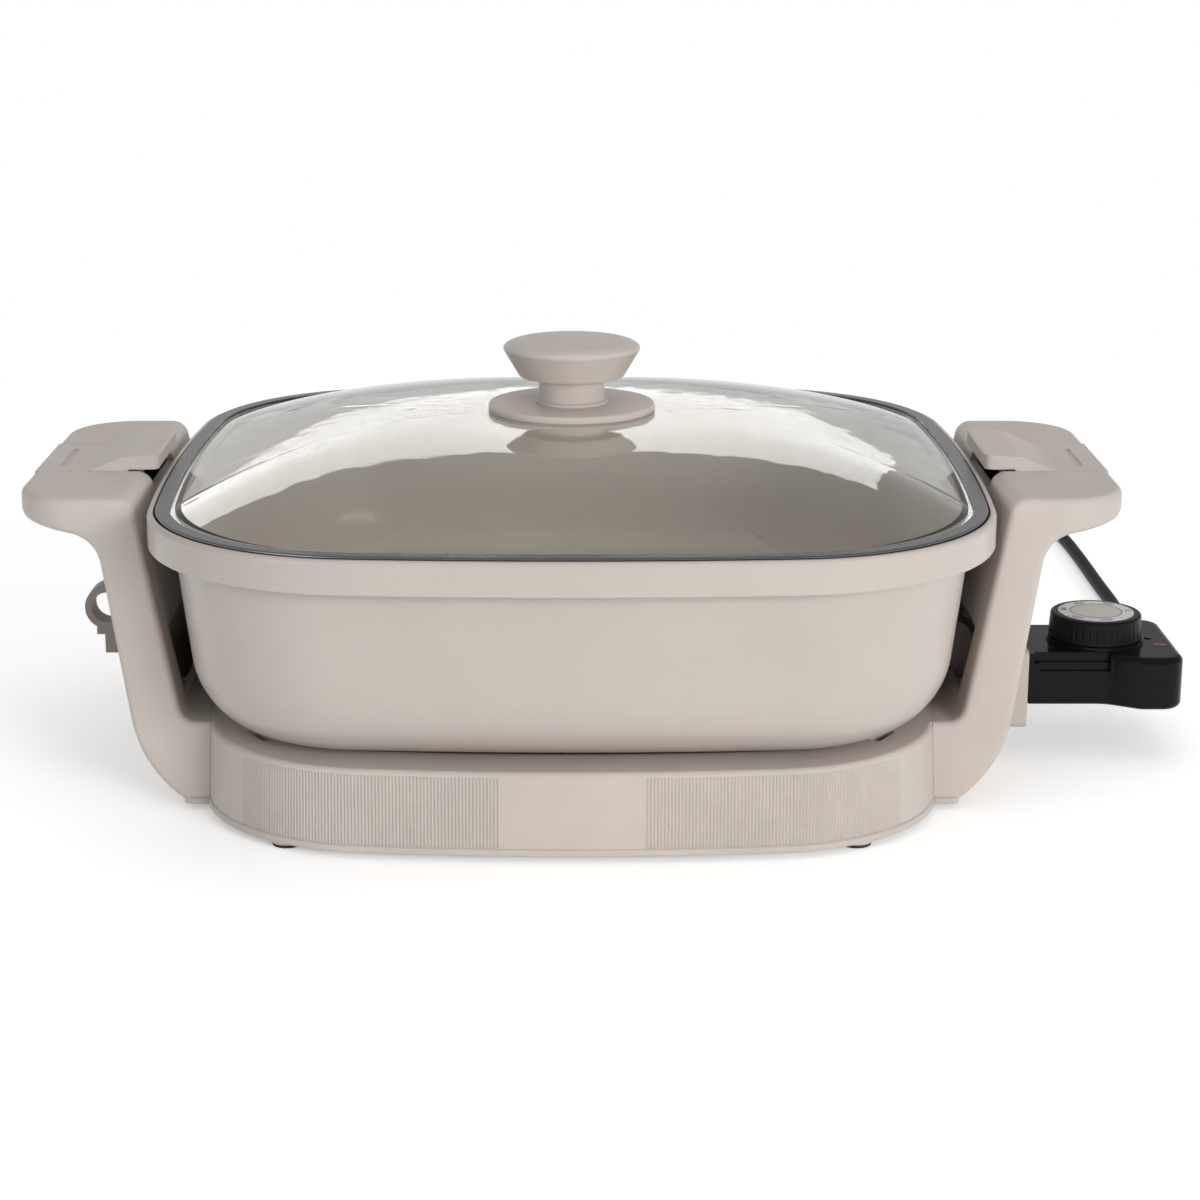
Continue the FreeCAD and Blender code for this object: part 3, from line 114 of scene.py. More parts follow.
coilX, coilY = lead["coilMiddle"]
turnRadius = lead["coilRadius"] + lead["coilSlack"]
climbHeight = 2 * lead["radius"] + lead["climbGap"]
for i in range(lead["turns"] * lead["turnPoints"] + 1):
    turn = i / lead["turnPoints"]
    angle = math.radians(90 + 360 * turn)
    climb = min(max((turn - lead["climbStart"]) / lead["climbLength"], 0.0), 1.0)
    climb = climb * climb * (3 - 2 * climb)  # eased at both ends
    leadPoints.append((coilX + turnRadius * math.cos(angle), coilY + turnRadius * math.sin(angle),
                       rest + climb * climbHeight))
plugY = coilY + lead["coilRadius"]
beforeX, beforeY, beforeZ = lead["beforePlug"]
leadPoints.append((coilX + beforeX, plugY + beforeY, lead["plugAxis"] + beforeZ))
leadPoints.append((coilX - lead["plugReach"], plugY, lead["plugAxis"]))

leadCurve = bpy.data.curves.new("lead", "CURVE")
leadCurve.dimensions = "3D"
leadCurve.bevel_depth = 1.0     # each point carries the real radius
leadCurve.bevel_resolution = 6
leadCurve.use_fill_caps = True
leadCurve.resolution_u = 8
leadSpline = leadCurve.splines.new("NURBS")
leadSpline.points.add(len(leadPoints) - 1)
for spot, (x, y, z) in zip(leadSpline.points, leadPoints):
    spot.co = (x * mm + dishX, y * mm, z * mm, 1.0)
    spot.radius = lead["radius"] * mm
leadSpline.order_u = 3
leadSpline.use_endpoint_u = True
leadObject = bpy.data.objects.new("lead", leadCurve)
bpy.context.scene.collection.objects.link(leadObject)
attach(leadObject, "control_body")
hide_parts("cord", "cord_coil", "cord_tail")
print("lead laid:", len(leadPoints), "points")


# a socket that can stand in a sum
class Wire:
    def __init__(self, paint, socket):
        self.paint = paint
        self.socket = socket

    def reckon(self, operation, first, second):
        return self.paint.node("ShaderNodeMath", {"operation": operation}, {0: first, 1: second})

    def __add__(self, other):
        return self.reckon("ADD", self, other)

    def __radd__(self, other):
        return self.reckon("ADD", other, self)

    def __sub__(self, other):
        return self.reckon("SUBTRACT", self, other)

    def __rsub__(self, other):
        return self.reckon("SUBTRACT", other, self)

    def __mul__(self, other):
        return self.reckon("MULTIPLY", self, other)

    def __rmul__(self, other):
        return self.reckon("MULTIPLY", other, self)


# how the shader finds and rounds the edges that the solids have sharp
edgeFinder = {
    "samples": 4,
    "turned": (0.01, 0.20),     # how far the normal turns where the mask starts and is full
}


# one material, or the world, and the nodes it is made of
class Paint:
    def __init__(self, name, tree=None):
        if tree is None:
            self.material = bpy.data.materials.new(name)
            self.material.use_nodes = True
            tree = self.material.node_tree
        self.tree = tree
        self.tree.nodes.clear()
        self.place = None

    def node(self, kind, settings=None, sockets=None, out=0):
        made = self.tree.nodes.new(kind)
        for key, value in (settings or {}).items():
            if key == "stops":
                ramp = made.color_ramp
                while len(ramp.elements) < len(value):
                    ramp.elements.new(1.0)
                for element, (at, colour) in zip(ramp.elements, value):
                    element.position = at
                    element.color = (*colour, 1.0)
            else:
                setattr(made, key, value)
        for key, value in (sockets or {}).items():
            if isinstance(value, Wire):
                self.tree.links.new(value.socket, made.inputs[key])
            elif isinstance(value, tuple) and made.inputs[key].type == "RGBA":
                made.inputs[key].default_value = (*value[:3], 1.0)
            else:
                made.inputs[key].default_value = value
        return None if out is None else Wire(self, made.outputs[out])

    def spot(self):
        # where a point lies on the piece at rest, in metres
        if self.place is None:
            self.place = self.node("ShaderNodeTexCoord", out="Object")
        return self.place

    def vector(self, operation, sockets, out=0):
        return self.node("ShaderNodeVectorMath", {"operation": operation}, sockets, out)

    def noise(self, scale, detail, roughness, at=None, out=0):
        return self.node("ShaderNodeTexNoise", {"noise_dimensions": "3D"},
                         {"Vector": at or self.spot(), "Scale": scale, "Detail": detail,
                          "Roughness": roughness}, out)

    def drawnOut(self, marks, detail, roughness):
        # noise with its own number of marks a metre along each axis
        stretched = self.vector("MULTIPLY", {0: self.spot(), 1: marks})
        return self.noise(1.0, detail, roughness, stretched)

    def cells(self, scale, out="Distance", at=None):
        return self.node("ShaderNodeTexVoronoi", {"feature": "F1"},
                         {"Vector": at or self.spot(), "Scale": scale}, out)

    def ramp(self, value, ends):
        # 0 before the first end, 1 past the second
        return self.node("ShaderNodeMapRange", {"clamp": True},
                         {"Value": value, "From Min": ends[0], "From Max": ends[1],
                          "To Min": 0.0, "To Max": 1.0})

    def mix(self, share, first, second):
        # 6 and 7 are the node's colour sockets, 2 is its colour output
        return self.node("ShaderNodeMix", {"data_type": "RGBA"}, {0: share, 6: first, 7: second}, 2)

    def shades(self, share, colour, spread):
        # a colour that goes as far below itself as above
        return self.mix(share, tinted(colour, 1 - spread), tinted(colour, 1 + spread))

    def bump(self, height, depth, before=None):
        # depth in metres between the lowest and highest value
        sockets = {"Height": height, "Strength": 1.0, "Distance": depth}
        if before is not None:
            sockets["Normal"] = before
        return self.node("ShaderNodeBump", None, sockets)

    def softEdges(self, radius):
        # a normal that rounds sharp edges, and a mask that is 1 along them
        rounded = self.node("ShaderNodeBevel", {"samples": edgeFinder["samples"]},
                            {"Radius": radius})
        plain = self.node("ShaderNodeNewGeometry", out="Normal")
        facing = self.vector("DOT_PRODUCT", {0: rounded, 1: plain}, "Value")
        return rounded, self.ramp(1 - facing, edgeFinder["turned"])

    def either(self, share, first, second):
        # the first shader where share is 0, the second where it is 1
        return self.node("ShaderNodeMixShader", None, {0: share, 1: first, 2: second})

    def surface(self, sockets):
        return self.finish(self.node("ShaderNodeBsdfPrincipled", None, sockets))

    def finish(self, shader):
        self.node("ShaderNodeOutputMaterial", None, {"Surface": shader}, None)
        return self.material


def tinted(colour, share):
    return tuple(c * share for c in colour)


def between(ends, share):
    # the first end where share is 0, the second where it is 1
    low, high = ends
    return low + (high - low) * share


def blended(first, second, share):
    # so much of the first pattern, and the rest from the second
    return first * share + second * (1 - share)


def dress(material, *names):
    for name in names:
        for holder in nodes[name].material_slots:
            holder.material = material


print("helpers ready")


# In every finish below, a noise is its scale in marks a metre, its detail and its roughness,
# and a range holds the values of a pattern at which an effect starts and is full.

# fine-grained moulded plastic of the base, arms, latches and knob
shellFinish = {
    "colour": (0.545, 0.487, 0.443),
    "clouds": (26, 2.0, 0.55),
    "cloudTint": 0.035,         # how much lighter and darker the slow patches are
    "cloudRange": (0.36, 0.64),
    "cloudShare": 0.75,         # the rest of the patches comes from the swirl
    "swirl": (150, 4.0, 0.55),
    "swirlDepth": 0.00002,
    "swirlRough": 0.6,          # the rest of the roughness comes from the grain
    "grain": (2300, 2.0, 0.6),
    "grainDepth": 0.00003,
    "speckRange": (0.60, 0.72),
    "speckShare": 0.10,
    "speckTint": 0.72,
    "rough": (0.40, 0.50),
    "edge": 0.0006,             # rounding of edges that the solids have sharp
    "edgeHighlightRange": (0.35, 0.60),
    "edgeHighlightAndPolish": 0.10,             # painted highlight: how much paler the edges are painted, and how much smoother they are made
    "refraction": 1.49,
}


def mouldedPlastic(name, look):
    paint = Paint(name)
    clouds = paint.noise(*look["clouds"])
    swirl = paint.noise(*look["swirl"])
    grain = paint.noise(*look["grain"])
    patches = paint.ramp(blended(clouds, swirl, look["cloudShare"]), look["cloudRange"])
    colour = paint.shades(patches, look["colour"], look["cloudTint"])
    specks = paint.ramp(grain, look["speckRange"]) * look["speckShare"]
    colour = paint.mix(specks, colour, tinted(look["colour"], look["speckTint"]))
    rounded, edges = paint.softEdges(look["edge"])
    # painted highlight: sharp edges are painted paler in patches, as if light caught a rounded
    # edge; the same mask makes them smoother
    edgeHighlightAndPolish = edges * paint.ramp(swirl, look["edgeHighlightRange"])
    colour = paint.mix(edgeHighlightAndPolish, colour, tinted(look["colour"], 1 + look["edgeHighlightAndPolish"]))
    rough = between(look["rough"], blended(swirl, grain, look["swirlRough"]))
    waved = paint.bump(swirl, look["swirlDepth"], rounded)
    return paint.surface({
        "Base Color": colour,
        "Roughness": rough - edgeHighlightAndPolish * look["edgeHighlightAndPolish"],
        "Normal": paint.bump(grain, look["grainDepth"], waved),
        "IOR": look["refraction"],
    })


dress(mouldedPlastic("shellPlastic", shellFinish), "base_shell", "arm_left", "arm_right",
      "arm_cover_left", "arm_cover_right", "latch_left", "latch_right", "socket_housing",
      "bottom_plate", "feet")

knobFinish = dict(shellFinish, cloudTint=0.025, grainDepth=0.00002, rough=(0.34, 0.44))
dress(mouldedPlastic("knobPlastic", knobFinish), "lid_knob", "lid_escutcheon")

keeperFinish = dict(shellFinish, colour=(0.40, 0.36, 0.33), rough=(0.46, 0.58))
dress(mouldedPlastic("keeperPlastic", keeperFinish), "latch_keeper_left", "latch_keeper_right")

# painted shade: the cord clip is the shell's plastic, painted darker for the shade it sits in
# beside the arm
shadedClipFinish = dict(shellFinish, colour=(0.26, 0.23, 0.20), grainDepth=0.00004, rough=(0.42, 0.55))
dress(mouldedPlastic("clipPlasticPaintedShade", shadedClipFinish), "cord_clip")
print("moulded plastics done")


# satin ceramic coating on the dish: sprayed, so faintly dimpled, with very fine specks
dishFinish = {
    "colour": (0.51, 0.455, 0.412),
    "clouds": (17, 3.0, 0.55),
    "cloudTint": 0.02,
    "cloudRange": (0.35, 0.65),
    "cloudRough": 0.5,          # the rest of the roughness comes from the dimples
    "peel": (420, 2.0, 0.45),
    "peelDepth": 0.000012,
    "specks": (1500, 1.0, 0.4),
    "speckRange": (0.66, 0.74),
    "speckShare": 0.16,
    "speckTint": 0.6,
    "rough": (0.27, 0.36),
    "coat": 0.25,
    "coatRough": 0.18,
}


def ceramicCoating(name, look):
    paint = Paint(name)
    clouds = paint.noise(*look["clouds"])
    peel = paint.noise(*look["peel"])
    specks = paint.ramp(paint.noise(*look["specks"]), look["speckRange"]) * look["speckShare"]
    colour = paint.shades(paint.ramp(clouds, look["cloudRange"]), look["colour"], look["cloudTint"])
    return paint.surface({
        "Base Color": paint.mix(specks, colour, tinted(look["colour"], look["speckTint"])),
        "Roughness": between(look["rough"], blended(clouds, peel, look["cloudRough"])),
        "Normal": paint.bump(peel, look["peelDepth"]),
        "Coat Weight": look["coat"],
        "Coat Roughness": look["coatRough"],
    })


dress(ceramicCoating("dishCoating", dishFinish), "pan")


# clear tempered glass, faintly warm, that lets the lamps' light through to the dish
glassFinish = {
    "colour": (0.885, 0.882, 0.845),
    "waves": (11, 1.0, 0.4),
    "waveDepth": 0.00006,
    "smears": ((14, 60, 14), 4.0, 0.6),  # marks a metre along each axis
    "smearRange": (0.52, 0.78),
    "smearRough": 0.05,
    "rough": 0.012,
    "refraction": 1.5,
    "through": (0.83, 0.832, 0.81),   # tint of the light that passes
}


def temperedGlass(name, look):
    paint = Paint(name)
    smears = paint.ramp(paint.drawnOut(*look["smears"]), look["smearRange"])
    glass = paint.node("ShaderNodeBsdfPrincipled", None, {
        "Base Color": look["colour"],
        "Roughness": look["rough"] + smears * look["smearRough"],
        "Normal": paint.bump(paint.noise(*look["waves"]), look["waveDepth"]),
        "IOR": look["refraction"],
        "Transmission Weight": 1.0,
    })
    clear = paint.node("ShaderNodeBsdfTransparent", None, {"Color": look["through"]})
    shadow = paint.node("ShaderNodeLightPath", out="Is Shadow Ray")
    return paint.finish(paint.either(shadow, glass, clear))


dress(temperedGlass("lidGlass", glassFinish), "lid_glass")
print("dish and lid finishes done")


# metals: rolled, drawn, turned or plated, told apart by how their marks run
rimFinish = {
    "colour": (0.27, 0.27, 0.275),
    "streaks": ((30, 30, 5200), 3.0, 0.6),  # marks a metre along each axis
    "streakDepth": 0.000008,
    "streakRough": 0.7,         # the rest of the roughness comes from the patches
    "patches": (60, 3.0, 0.55),
    "patchTint": 0.10,
    "patchRange": (0.35, 0.65),
    "patchShare": 0.6,          # the rest of the colour's pattern comes from the streaks
    "rough": (0.20, 0.32),
}


def streakedMetal(name, look):
    paint = Paint(name)
    streaks = paint.drawnOut(*look["streaks"])
    patches = paint.noise(*look["patches"])
    bare = paint.ramp(blended(patches, streaks, look["patchShare"]), look["patchRange"])
    dull = tinted(look["colour"], 1 - look["patchTint"])
    return paint.surface({
        "Base Color": paint.mix(bare, dull, look["colour"]),
        "Metallic": 1.0,
        "Roughness": between(look["rough"], blended(streaks, patches, look["streakRough"])),
        "Normal": paint.bump(streaks, look["streakDepth"]),
    })


dress(streakedMetal("rimSteel", rimFinish), "lid_rim")

rodFinish = dict(rimFinish, colour=(0.72, 0.72, 0.73), streaks=((4200, 60, 60), 3.0, 0.6),
                 streakDepth=0.000004, patches=(90, 3.0, 0.55), patchTint=0.06, rough=(0.10, 0.20))
dress(streakedMetal("rodSteel", rodFinish), "sensing_rod")

# its patches are dull spots where the brass has tarnished
brassFinish = dict(rimFinish, colour=(0.78, 0.60, 0.30), streaks=((70, 3600, 3600), 3.0, 0.6),
                   streakDepth=0.000006, patches=(210, 3.0, 0.55), patchTint=0.18,
                   rough=(0.22, 0.40))
dress(streakedMetal("contactBrass", brassFinish), "contact_sockets")

bladeFinish = dict(brassFinish, colour=(0.72, 0.68, 0.58), patchTint=0.10)
dress(streakedMetal("plugBrass", bladeFinish), "plug_blades")

screwFinish = dict(rimFinish, colour=(0.66, 0.66, 0.67), streaks=((500, 500, 3800), 3.0, 0.6),
                   patches=(260, 3.0, 0.55), patchTint=0.12, rough=(0.26, 0.42))
screwZinc = streakedMetal("screwZinc", screwFinish)
dress(screwZinc, "lid_screw", "heater_screws", "arm_screws", "heater_posts")


# cast aluminium of the heater plate: pebbled skin and dull stains
plateFinish = {
    "colour": (0.66, 0.67, 0.68),
    "pebbles": (820, 3.0, 0.6),
    "pebbleDepth": 0.00006,
    "stains": (34, 4.0, 0.6),
    "stainColour": (0.50, 0.47, 0.42),
    "stainRange": (0.50, 0.74),
    "stainRough": 0.1,
    "rough": (0.38, 0.58),
}


def castAluminium(name, look):
    paint = Paint(name)
    pebbles = paint.noise(*look["pebbles"])
    stains = paint.ramp(paint.noise(*look["stains"]), look["stainRange"])
    return paint.surface({
        "Base Color": paint.mix(stains, look["colour"], look["stainColour"]),
        "Metallic": 1.0,
        "Roughness": between(look["rough"], pebbles) + stains * look["stainRough"],
        "Normal": paint.bump(pebbles, look["pebbleDepth"]),
    })


dress(castAluminium("heaterAluminium", plateFinish), "heater_plate")


# steel of the element's sheath: straw, violet and blue where it has been hot
elementFinish = {
    "tints": [(0.0, (0.30, 0.30, 0.31)), (0.42, (0.36, 0.31, 0.24)),
              (0.62, (0.27, 0.19, 0.17)), (1.0, (0.17, 0.18, 0.25))],
    "heat": (38, 3.0, 0.55),
    "heatRange": (0.34, 0.66),
    "flakes": (1300, 3.0, 0.6),
    "flakeDepth": 0.00002,
    "rough": (0.34, 0.52),
}


def heatedSteel(name, look):
    paint = Paint(name)
    heat = paint.ramp(paint.noise(*look["heat"]), look["heatRange"])
    flakes = paint.noise(*look["flakes"])
    return paint.surface({
        "Base Color": paint.node("ShaderNodeValToRGB", {"stops": look["tints"]}, {"Fac": heat}),
        "Metallic": 1.0,
        "Roughness": between(look["rough"], flakes),
        "Normal": paint.bump(flakes, look["flakeDepth"]),
    })


dress(heatedSteel("elementSteel", elementFinish), "heating_element", "sensor_tube")


# galvanised sheet of the tray under the heater
trayFinish = {
    "colour": (0.56, 0.57, 0.58),
    "spangles": 95,             # crystals a metre
    "bends": (160, 2.0, 0.5),   # what makes the crystals' borders uneven
    "bendReach": 0.006,
    "contrast": 0.16,
    "grain": (700, 3.0, 0.55),
    "grainDepth": 0.00001,
    "rough": (0.28, 0.46),
}


def galvanisedSheet(name, look):
    paint = Paint(name)
    shift = paint.vector("SCALE", {0: paint.noise(*look["bends"], out="Color"),
                                   "Scale": look["bendReach"]})
    bent = paint.vector("ADD", {0: paint.spot(), 1: shift})
    crystals = paint.cells(look["spangles"], "Color", bent)
    spangle = paint.node("ShaderNodeSeparateColor", None, {0: crystals})
    dull = tinted(look["colour"], 1 - look["contrast"])
    return paint.surface({
        "Base Color": paint.mix(spangle, dull, look["colour"]),
        "Metallic": 1.0,
        "Roughness": between(look["rough"], spangle),
        "Normal": paint.bump(paint.noise(*look["grain"]), look["grainDepth"]),
    })


dress(galvanisedSheet("trayZinc", trayFinish), "heat_shield")
print("metals done")


# black mouldings of the heat control
controlFinish = {
    "colour": (0.006, 0.006, 0.007),
    "ripples": (70, 2.0, 0.4),
    "rippleDepth": 0.00004,
    "smears": ((120, 40, 60), 5.0, 0.65),  # marks a metre along each axis
    "smearRange": (0.30, 0.75),
    "dust": (1700, 2.0, 0.7),
    "dustColour": (0.040, 0.038, 0.036),
    "dustRange": (0.62, 0.78),
    "dustShare": 0.06,
    "rough": (0.08, 0.17),
    "shine": 0.10,              # how strongly it mirrors what is round it
    "coat": 0.06,
    "coatRough": 0.06,
    "edge": 0.0004,
}


def glossyBlack(name, look):
    paint = Paint(name)
    smears = paint.ramp(paint.drawnOut(*look["smears"]), look["smearRange"])
    dust = paint.ramp(paint.noise(*look["dust"]), look["dustRange"]) * look["dustShare"]
    rounded = paint.softEdges(look["edge"])[0]
    return paint.surface({
        "Base Color": paint.mix(dust, look["colour"], look["dustColour"]),
        "Roughness": between(look["rough"], smears),
        "Normal": paint.bump(paint.noise(*look["ripples"]), look["rippleDepth"], rounded),
        "Specular IOR Level": look["shine"],
        "Coat Weight": look["coat"],
        "Coat Roughness": look["coatRough"],
    })


controlBlack = glossyBlack("controlBlack", controlFinish)
dress(controlBlack, "control_case", "control_cover")

dialFinish = dict(controlFinish, colour=(0.008, 0.008, 0.009), rough=(0.24, 0.36), coat=0.04)
dress(glossyBlack("dialBlack", dialFinish), "dial", "dial_shaft")


# spun disc in the dial: fine turned rings round its own middle
faceLow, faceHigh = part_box("dial_face")
faceMiddle = (faceLow + faceHigh) / 2
faceTop = faceHigh.z
faceFinish = {
    "outer": (0.74, 0.74, 0.71),
    "inner": (0.61, 0.59, 0.53),
    "step": (0.0097, 0.0099),   # radius over which the inner disc turns to the outer one
    "turnings": 5200,           # rings a metre
    "turningDetail": 2.0,
    "turningDepth": 0.00001,
    "turningRough": 0.5,        # the rest of the roughness comes from the haze
    "shadeShare": 0.22,
    "shadeTint": 0.7,
    "haze": (190, 3.0, 0.55),
    "metal": 0.1,
    "rough": (0.30, 0.42),
}


def spunDisc(name, look):
    paint = Paint(name)
    outward = paint.vector("SUBTRACT", {0: paint.spot(), 1: (faceMiddle.x, faceMiddle.y, 0)})
    level = paint.vector("MULTIPLY", {0: outward, 1: (1, 1, 0)})
    radius = paint.vector("LENGTH", {0: level}, "Value")
    turned = paint.node("ShaderNodeTexNoise", {"noise_dimensions": "1D"},
                        {"W": radius * look["turnings"], "Scale": 1.0,
                         "Detail": look["turningDetail"]})
    haze = paint.noise(*look["haze"])
    colour = paint.mix(paint.ramp(radius, look["step"]), look["inner"], look["outer"])
    shade = (1 - turned) * look["shadeShare"]
    return paint.surface({
        "Base Color": paint.mix(shade, colour, tinted(look["inner"], look["shadeTint"])),
        "Metallic": look["metal"],
        "Roughness": between(look["rough"], blended(turned, haze, look["turningRough"])),
        "Normal": paint.bump(turned, look["turningDepth"]),
    })


dress(spunDisc("dialDisc", faceFinish), "dial_face")


# red window of the pilot light, off, with faint moulded ridges inside
lensFinish = {
    "colour": (0.22, 0.014, 0.008),
    "deep": (0.09, 0.006, 0.004),
    "ridges": ((2600, 200, 200), 1.0, 0.4),  # marks a metre along each axis
    "ridgeRange": (0.35, 0.65),
    "ridgeDepth": 0.00003,
    "rough": (0.14, 0.26),
    "shine": 0.25,
    "coat": 0.15,
    "coatRough": 0.05,
}


def pilotRed(name, look):
    paint = Paint(name)
    ridges = paint.drawnOut(*look["ridges"])
    raised = paint.ramp(ridges, look["ridgeRange"])
    return paint.surface({
        "Base Color": paint.mix(raised, look["deep"], look["colour"]),
        "Roughness": between(look["rough"], ridges),
        "Normal": paint.bump(ridges, look["ridgeDepth"]),
        "Specular IOR Level": look["shine"],
        "Coat Weight": look["coat"],
        "Coat Roughness": look["coatRough"],
    })


dress(pilotRed("pilotRed", lensFinish), "indicator_lens")
print("control finishes done")


# rubber of the lead and the pads: matte, with a little dust in the pores
leadFinish = {
    "colour": (0.007, 0.007, 0.008),
    "bloom": (45, 4.0, 0.6),
    "bloomColour": (0.020, 0.0195, 0.019),
    "bloomRange": (0.42, 0.78),
    "bloomShare": 0.4,
    "pores": (2600, 2.0, 0.6),
    "poreDepth": 0.00003,
    "poreRough": 0.6,           # the rest of the roughness comes from the bloom
    "rough": (0.44, 0.60),
    "shine": 0.14,
}


def matteRubber(name, look):
    paint = Paint(name)
    bloom = paint.ramp(paint.noise(*look["bloom"]), look["bloomRange"]) * look["bloomShare"]
    pores = paint.noise(*look["pores"])
    return paint.surface({
        "Base Color": paint.mix(bloom, look["colour"], look["bloomColour"]),
        "Roughness": between(look["rough"], blended(pores, bloom, look["poreRough"])),
        "Normal": paint.bump(pores, look["poreDepth"]),
        "Specular IOR Level": look["shine"],
    })


leadRubber = matteRubber("leadRubber", leadFinish)
leadCurve.materials.append(leadRubber)
dress(leadRubber, "strain_relief")

padFinish = dict(leadFinish, colour=(0.030, 0.030, 0.031), bloomColour=(0.07, 0.068, 0.064),
                 rough=(0.62, 0.80), poreDepth=0.00006)
dress(matteRubber("padRubber", padFinish), "foot_pads", "pan_rests")

# soft washer between the knob's screw and the glass
washerFinish = {
    "colour": (0.80, 0.79, 0.77),
    "shade": (0.66, 0.65, 0.62),
    "clouds": (80, 3.0, 0.55),
    "cloudRange": (0.3, 0.7),
    "pores": (900, 3.0, 0.55),
    "poreDepth": 0.00002,
    "rough": (0.42, 0.58),
    "depth": (0.25, 0.002),     # how much light goes in, and how far in metres
}


def softWasher(name, look):
    paint = Paint(name)
    clouds = paint.ramp(paint.noise(*look["clouds"]), look["cloudRange"])
    pores = paint.noise(*look["pores"])
    weight, reach = look["depth"]
    return paint.surface({
        "Base Color": paint.mix(clouds, look["shade"], look["colour"]),
        "Roughness": between(look["rough"], pores),
        "Normal": paint.bump(pores, look["poreDepth"]),
        "Subsurface Weight": weight,
        "Subsurface Scale": reach,
    })


dress(softWasher("washerSilicone", washerFinish), "lid_washer")


# unglazed ceramic of the element's block, and the brown body of the thermostat
blockFinish = {
    "colour": (0.80, 0.77, 0.69),
    "stains": (60, 4.0, 0.6),
    "stainColour": (0.56, 0.50, 0.40),
    "stainRange": (0.45, 0.85),
    "pores": 1500,              # a metre
    "poreRange": (0.05, 0.45),
    "poreDepth": 0.00009,
    "poreBottomDarkening": 0.15,          # how much darker the bottom of a pore is
    "rough": (0.70, 0.88),
}


def porousBody(name, look):
    paint = Paint(name)
    pores = paint.ramp(paint.cells(look["pores"]), look["poreRange"])
    stains = paint.ramp(paint.noise(*look["stains"]), look["stainRange"])
    # the bottoms of the pores are darkened towards the same colour as the stains
    dark = stains + (1 - pores) * look["poreBottomDarkening"]
    return paint.surface({
        "Base Color": paint.mix(dark, look["colour"], look["stainColour"]),
        "Roughness": between(look["rough"], pores),
        "Normal": paint.bump(pores, look["poreDepth"]),
    })


dress(porousBody("blockCeramic", blockFinish), "terminal_block")

thermostatFinish = dict(blockFinish, colour=(0.23, 0.135, 0.085), stains=(420, 4.0, 0.6),
                        stainColour=(0.10, 0.055, 0.035), pores=2200, poreDepth=0.00003,
                        rough=(0.30, 0.44))
dress(porousBody("thermostatBody", thermostatFinish), "thermostat")
print("rubbers and insulators done")


# pieces made here: a mesh becomes an object that rides on one of the frame's bodies
def addPiece(name, mesh, body, material, smooth=None):
    made = bpy.data.objects.new(name, mesh)
    bpy.context.scene.collection.objects.link(made)
    mesh.materials.append(material)
    if smooth is not None:      # degrees, above which an edge stays sharp
        mesh.shade_smooth()
        mesh.set_sharp_from_angle(angle=math.radians(smooth))
    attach(made, body)
    return made


def meshOf(name, form):
    mesh = bpy.data.meshes.new(name)
    form.to_mesh(mesh)
    form.free()
    return mesh


# a skin over rings of points, closed at both ends
def loftRings(name, rings):
    form = bmesh.new()
    rows = [[form.verts.new(spot) for spot in ring] for ring in rings]
    for low, high in zip(rows, rows[1:]):
        for i in range(len(low)):
            j = (i + 1) % len(low)
            form.faces.new((low[i], low[j], high[j], high[i]))
    form.faces.new(rows[0][::-1])
    form.faces.new(rows[-1])
    bmesh.ops.recalc_face_normals(form, faces=form.faces)
    return meshOf(name, form)


# cross-head screws under the base, with heights counted up from the head's lowest point
screws = {
    "headRadius": 3.6 * mm,
    "headHeight": 1.8 * mm,
    "headEdge": 0.1 * mm,
    "crown": 0.7 * mm,          # how much of the head is domed
    "crownCurve": ((0.55, 0.0), (0.80, 0.22), (0.95, 0.62), (1.0, 1.0)),  # shares of radius, crown
    "shankRadius": 1.7 * mm,
    "shankLength": 10.0 * mm,
    "pitch": 0.5 * mm,
    "thread": ((0.80, 0.1 * mm), (1.0, 0.35 * mm)),  # share of the radius, height in each step
    "tip": (0.5, 0.4 * mm),     # share of the radius, height beyond the shank
    "recess": (2.2 * mm, 0.5 * mm),  # arm length and half width of the cross
    "recessEnds": ((-0.2 * mm, 1.12), (1.3 * mm, 0.62)),  # heights, and the cross's scale there
    "facets": 40,
    "sharpAbove": 35,           # degrees
}


# profile points (radius, height) turned about an upright axis
def turnedRings(profile, facets, middle):
    return [[(middle.x + r * math.cos(i * math.tau / facets),
              middle.y + r * math.sin(i * math.tau / facets),
              middle.z + z) for i in range(facets)] for r, z in profile]


def crossPrism(name, middle, arm, half, ends):
    corners = [(arm, half), (half, half), (half, arm), (-half, arm), (-half, half),
               (-arm, half), (-arm, -half), (-half, -half), (-half, -arm), (half, -arm),
               (half, -half), (arm, -half)]
    return loftRings(name, [[(middle.x + x * scale, middle.y + y * scale, middle.z + z)
                             for x, y in corners] for z, scale in ends])


def carved(name, body, tool):
    # the first mesh with the second cut out of it
    whole = bpy.data.objects.new(name, body)
    knife = bpy.data.objects.new(name + "Knife", tool)
    for thing in (whole, knife):
        bpy.context.scene.collection.objects.link(thing)
    cut = whole.modifiers.new("recess", "BOOLEAN")
    cut.operation = "DIFFERENCE"
    cut.object = knife
    shaped = whole.evaluated_get(bpy.context.evaluated_depsgraph_get())
    done = bpy.data.meshes.new_from_object(shaped)
    for thing in (whole, knife):
        bpy.data.objects.remove(thing)
    return done


headRadius, headHeight, headEdge = screws["headRadius"], screws["headHeight"], screws["headEdge"]
shank, shankLength, pitch = screws["shankRadius"], screws["shankLength"], screws["pitch"]
profile = [(headRadius * out, screws["crown"] * up) for out, up in screws["crownCurve"]]
profile += [(headRadius, headHeight - headEdge), (headRadius - headEdge, headHeight),
            (shank, headHeight)]
for step in range(int(shankLength / pitch)):  # the thread, as shallow rounded rings
    profile += [(shank * out, headHeight + step * pitch + up) for out, up in screws["thread"]]
tipShare, tipHeight = screws["tip"]
profile.append((shank * tipShare, headHeight + shankLength + tipHeight))

